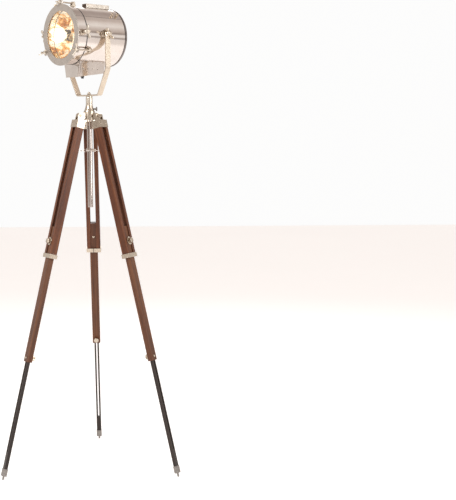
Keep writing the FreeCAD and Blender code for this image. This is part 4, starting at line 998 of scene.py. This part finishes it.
def hood():
    """Vent hood with a dark plate of painted shade in its open front, three slot strips of painted shade on it and
    a strip of painted shadow along each lower edge.
    """
    recast("vent_hood", DRUM, HOOD_NICKEL, 0.7 * MM)
    low, high = local_box("vent_hood", DRUM)
    half, top = high.y, high.z
    # Dark plate set in the open front: painted shade inside the hood.
    shade_plate = add_bar(bmesh.new(), (high.x - 0.005, -half + 0.0016, DRUM_RADIUS - 0.003),
                     (high.x - 0.003, half - 0.0016, top - 0.0016), 0.2 * MM, 1)
    dress(to_object("hood_baffle", shade_plate, DRUM), "vent_hood", SHADE_BRONZE)
    # Dark strips in the shadow material, all painted shade: three slot strips across the plate and one along each
    # lower edge of the hood.
    shade_strips = []
    for level in range(3):
        z = DRUM_RADIUS + (0.0035 + 0.0036 * level)
        shade_strips.append((add_bar(bmesh.new(), (high.x - 0.0031, -half + 0.005, z),
                              (high.x - 0.0028, half - 0.005, z + 0.0014), 0.05 * MM, 1),
                      Matrix.Identity(4)))
    for side in (1, -1):
        foot = math.sqrt(DRUM_RADIUS ** 2 - half ** 2)
        shade_strips.append((add_bar(bmesh.new(), (low.x + 0.0005, side * half - 0.0004, foot - 0.0006),
                              (high.x - 0.0005, side * half + 0.0004, foot + 0.0011), 0.05 * MM, 1),
                      Matrix.Identity(4)))
    dress(to_object("hood_slots", joined(*shade_strips), DRUM), "vent_hood", SHADOW)


def terminals():
    """Knurled thumb screws through the drum's wall."""
    for number in (1, 2):
        node = f"terminal_screw_{number}"
        matrix = clock(44)
        low, high = local_box(node, matrix)
        middle = (low.x + high.x) / 2
        base = DRUM_RADIUS + 0.3 * MM
        top = high.y
        washer = lathe([(base, 0), (base, 5.4 * MM), (base + 0.9 * MM, 5.4 * MM), (base + 1.1 * MM, 4.9 * MM),
                        (base + 3 * MM, 4.7 * MM), (base + 3 * MM, 0)], 6 * 8)
        head = lathe([(top - 7 * MM, 0), (top - 7 * MM, 4.2 * MM), (top - 6.4 * MM, 4.9 * MM),
                      (top - 2.2 * MM, 4.9 * MM), (top - 1.4 * MM, 4.2 * MM), (top - 1.2 * MM, 2.6 * MM),
                      (top - 0.3 * MM, 2.3 * MM), (top, 0)], 96,
                     ripple=lambda angle, index: 1 - (0.05 * (1 + math.cos(24 * angle)) if index in (2, 3) else 0))
        shank = lathe([(low.y, 0), (low.y, 2.5 * MM), (top - 7 * MM, 2.5 * MM), (top - 7 * MM, 0)], 24)
        spot = across(Matrix.Identity(4), (middle, 0, 0), (0, 1, 0))
        piece = to_object(f"{node}_detail", joined((washer, spot), (head, spot), (shank, spot)), matrix)
        even_normals(dress(piece, node, NICKEL, True))


recast("front_ring", DRUM, RING_STEEL, 0.5 * MM)
head_shells()
optics()
box_details()
gland()
hood()
terminals()


# ---------------------------------------------------------------- floor, light and camera

def floor():
    bm = bmesh.new()
    bmesh.ops.create_grid(bm, x_segments=1, y_segments=1, size=12)
    ground = to_object("floor", bm, Matrix.Identity(4))
    finish = Finish("floor_paint", Roughness=0.7, Emission_Color=(1, 0.995, 0.99, 1), Emission_Strength=0.35)
    finish.to("Base Color", finish.mix(finish.noise(0.8, 3), (0.92, 0.915, 0.91), (0.88, 0.875, 0.87)))
    ground.data.materials.append(finish.material)


def sky():
    """Pale studio: plain to the camera, and a soft gradient in reflections."""
    world = bpy.data.worlds.new("studio")
    bpy.context.scene.world = world
    world.use_nodes = True
    tree = world.node_tree
    background = tree.nodes["Background"]
    place = tree.nodes.new("ShaderNodeTexCoord")
    split = tree.nodes.new("ShaderNodeSeparateXYZ")
    tree.links.new(place.outputs["Generated"], split.inputs[0])
    half = tree.nodes.new("ShaderNodeMath")
    half.operation = "MULTIPLY_ADD"
    half.inputs[1].default_value = 0.5
    half.inputs[2].default_value = 0.5
    tree.links.new(split.outputs["Z"], half.inputs[0])
    ramp = tree.nodes.new("ShaderNodeValToRGB")
    stops = [(0.0, (0.8, 0.78, 0.76)), (0.44, (0.86, 0.83, 0.81)), (0.475, (0.36, 0.30, 0.27)),
             (0.50, (0.62, 0.56, 0.52)), (0.53, (0.98, 0.95, 0.92)), (0.60, (0.92, 0.87, 0.83)),
             (0.635, (0.34, 0.28, 0.25)), (0.68, (0.66, 0.58, 0.53)), (0.76, (0.98, 0.94, 0.90)),
             (0.84, (0.74, 0.66, 0.61)), (0.90, (0.46, 0.39, 0.36)), (1.0, (0.60, 0.52, 0.48))]
    elements = ramp.color_ramp.elements
    while len(elements) < len(stops):
        elements.new(0.5)
    for element, (position, colour) in zip(elements, stops):
        element.position = position
        element.color = (*colour, 1)
    cloud = tree.nodes.new("ShaderNodeTexNoise")
    cloud.inputs["Scale"].default_value = 1.7
    cloud.inputs["Detail"].default_value = 1.5
    tree.links.new(place.outputs["Generated"], cloud.inputs["Vector"])
    shade = tree.nodes.new("ShaderNodeMath")
    shade.operation = "MULTIPLY_ADD"
    shade.inputs[1].default_value = 0.22
    tree.links.new(cloud.outputs["Fac"], shade.inputs[0])
    tree.links.new(half.outputs[0], shade.inputs[2])
    drop = tree.nodes.new("ShaderNodeMath")
    drop.operation = "SUBTRACT"
    drop.inputs[1].default_value = 0.11
    tree.links.new(shade.outputs[0], drop.inputs[0])
    tree.links.new(drop.outputs[0], ramp.inputs[0])
    seen = tree.nodes.new("ShaderNodeLightPath")
    plain = tree.nodes.new("ShaderNodeMix")
    plain.data_type = "RGBA"
    plain.inputs[7].default_value = (0.98, 0.978, 0.975, 1)
    tree.links.new(seen.outputs["Is Camera Ray"], plain.inputs[0])
    tree.links.new(ramp.outputs[0], plain.inputs[6])
    tree.links.new(plain.outputs[2], background.inputs["Color"])
    background.inputs["Strength"].default_value = 1.0


def softbox(name, place, target, size, power, colour=(1, 1, 1)):
    light = bpy.data.lights.new(name, "AREA")
    light.shape = "RECTANGLE"
    light.size, light.size_y = size
    light.energy = power
    light.color = colour
    lamp = bpy.data.objects.new(name, light)
    bpy.context.scene.collection.objects.link(lamp)
    lamp.location = place
    lamp.rotation_euler = (Vector(target) - Vector(place)).to_track_quat("-Z", "Y").to_euler()


def camera():
    """Photograph's viewpoint: a long lens, a little above the lamp's middle."""
    view = bpy.data.cameras.new("camera")
    view.lens = 81.1
    view.sensor_width = 36
    view.clip_end = 60
    eye = bpy.data.objects.new("camera", view)
    bpy.context.scene.collection.objects.link(eye)
    eye.location = (0.275, -4.3198, 1.2619)
    eye.rotation_euler = (math.radians(90) - 0.0984, 0.0015, -0.058)
    bpy.context.scene.camera = eye


floor()
sky()
softbox("key", (-2.4, -2.6, 3.2), (0, 0, 1.2), (1.8, 1.8), 80)
softbox("fill", (3.0, -1.8, 2.0), (0, 0, 1.1), (1.2, 2.4), 45)
softbox("back", (0.8, 3.2, 2.8), (0, 0, 1.0), (2.5, 1.5), 30)
camera()
bpy.context.scene.view_settings.view_transform = "Standard"
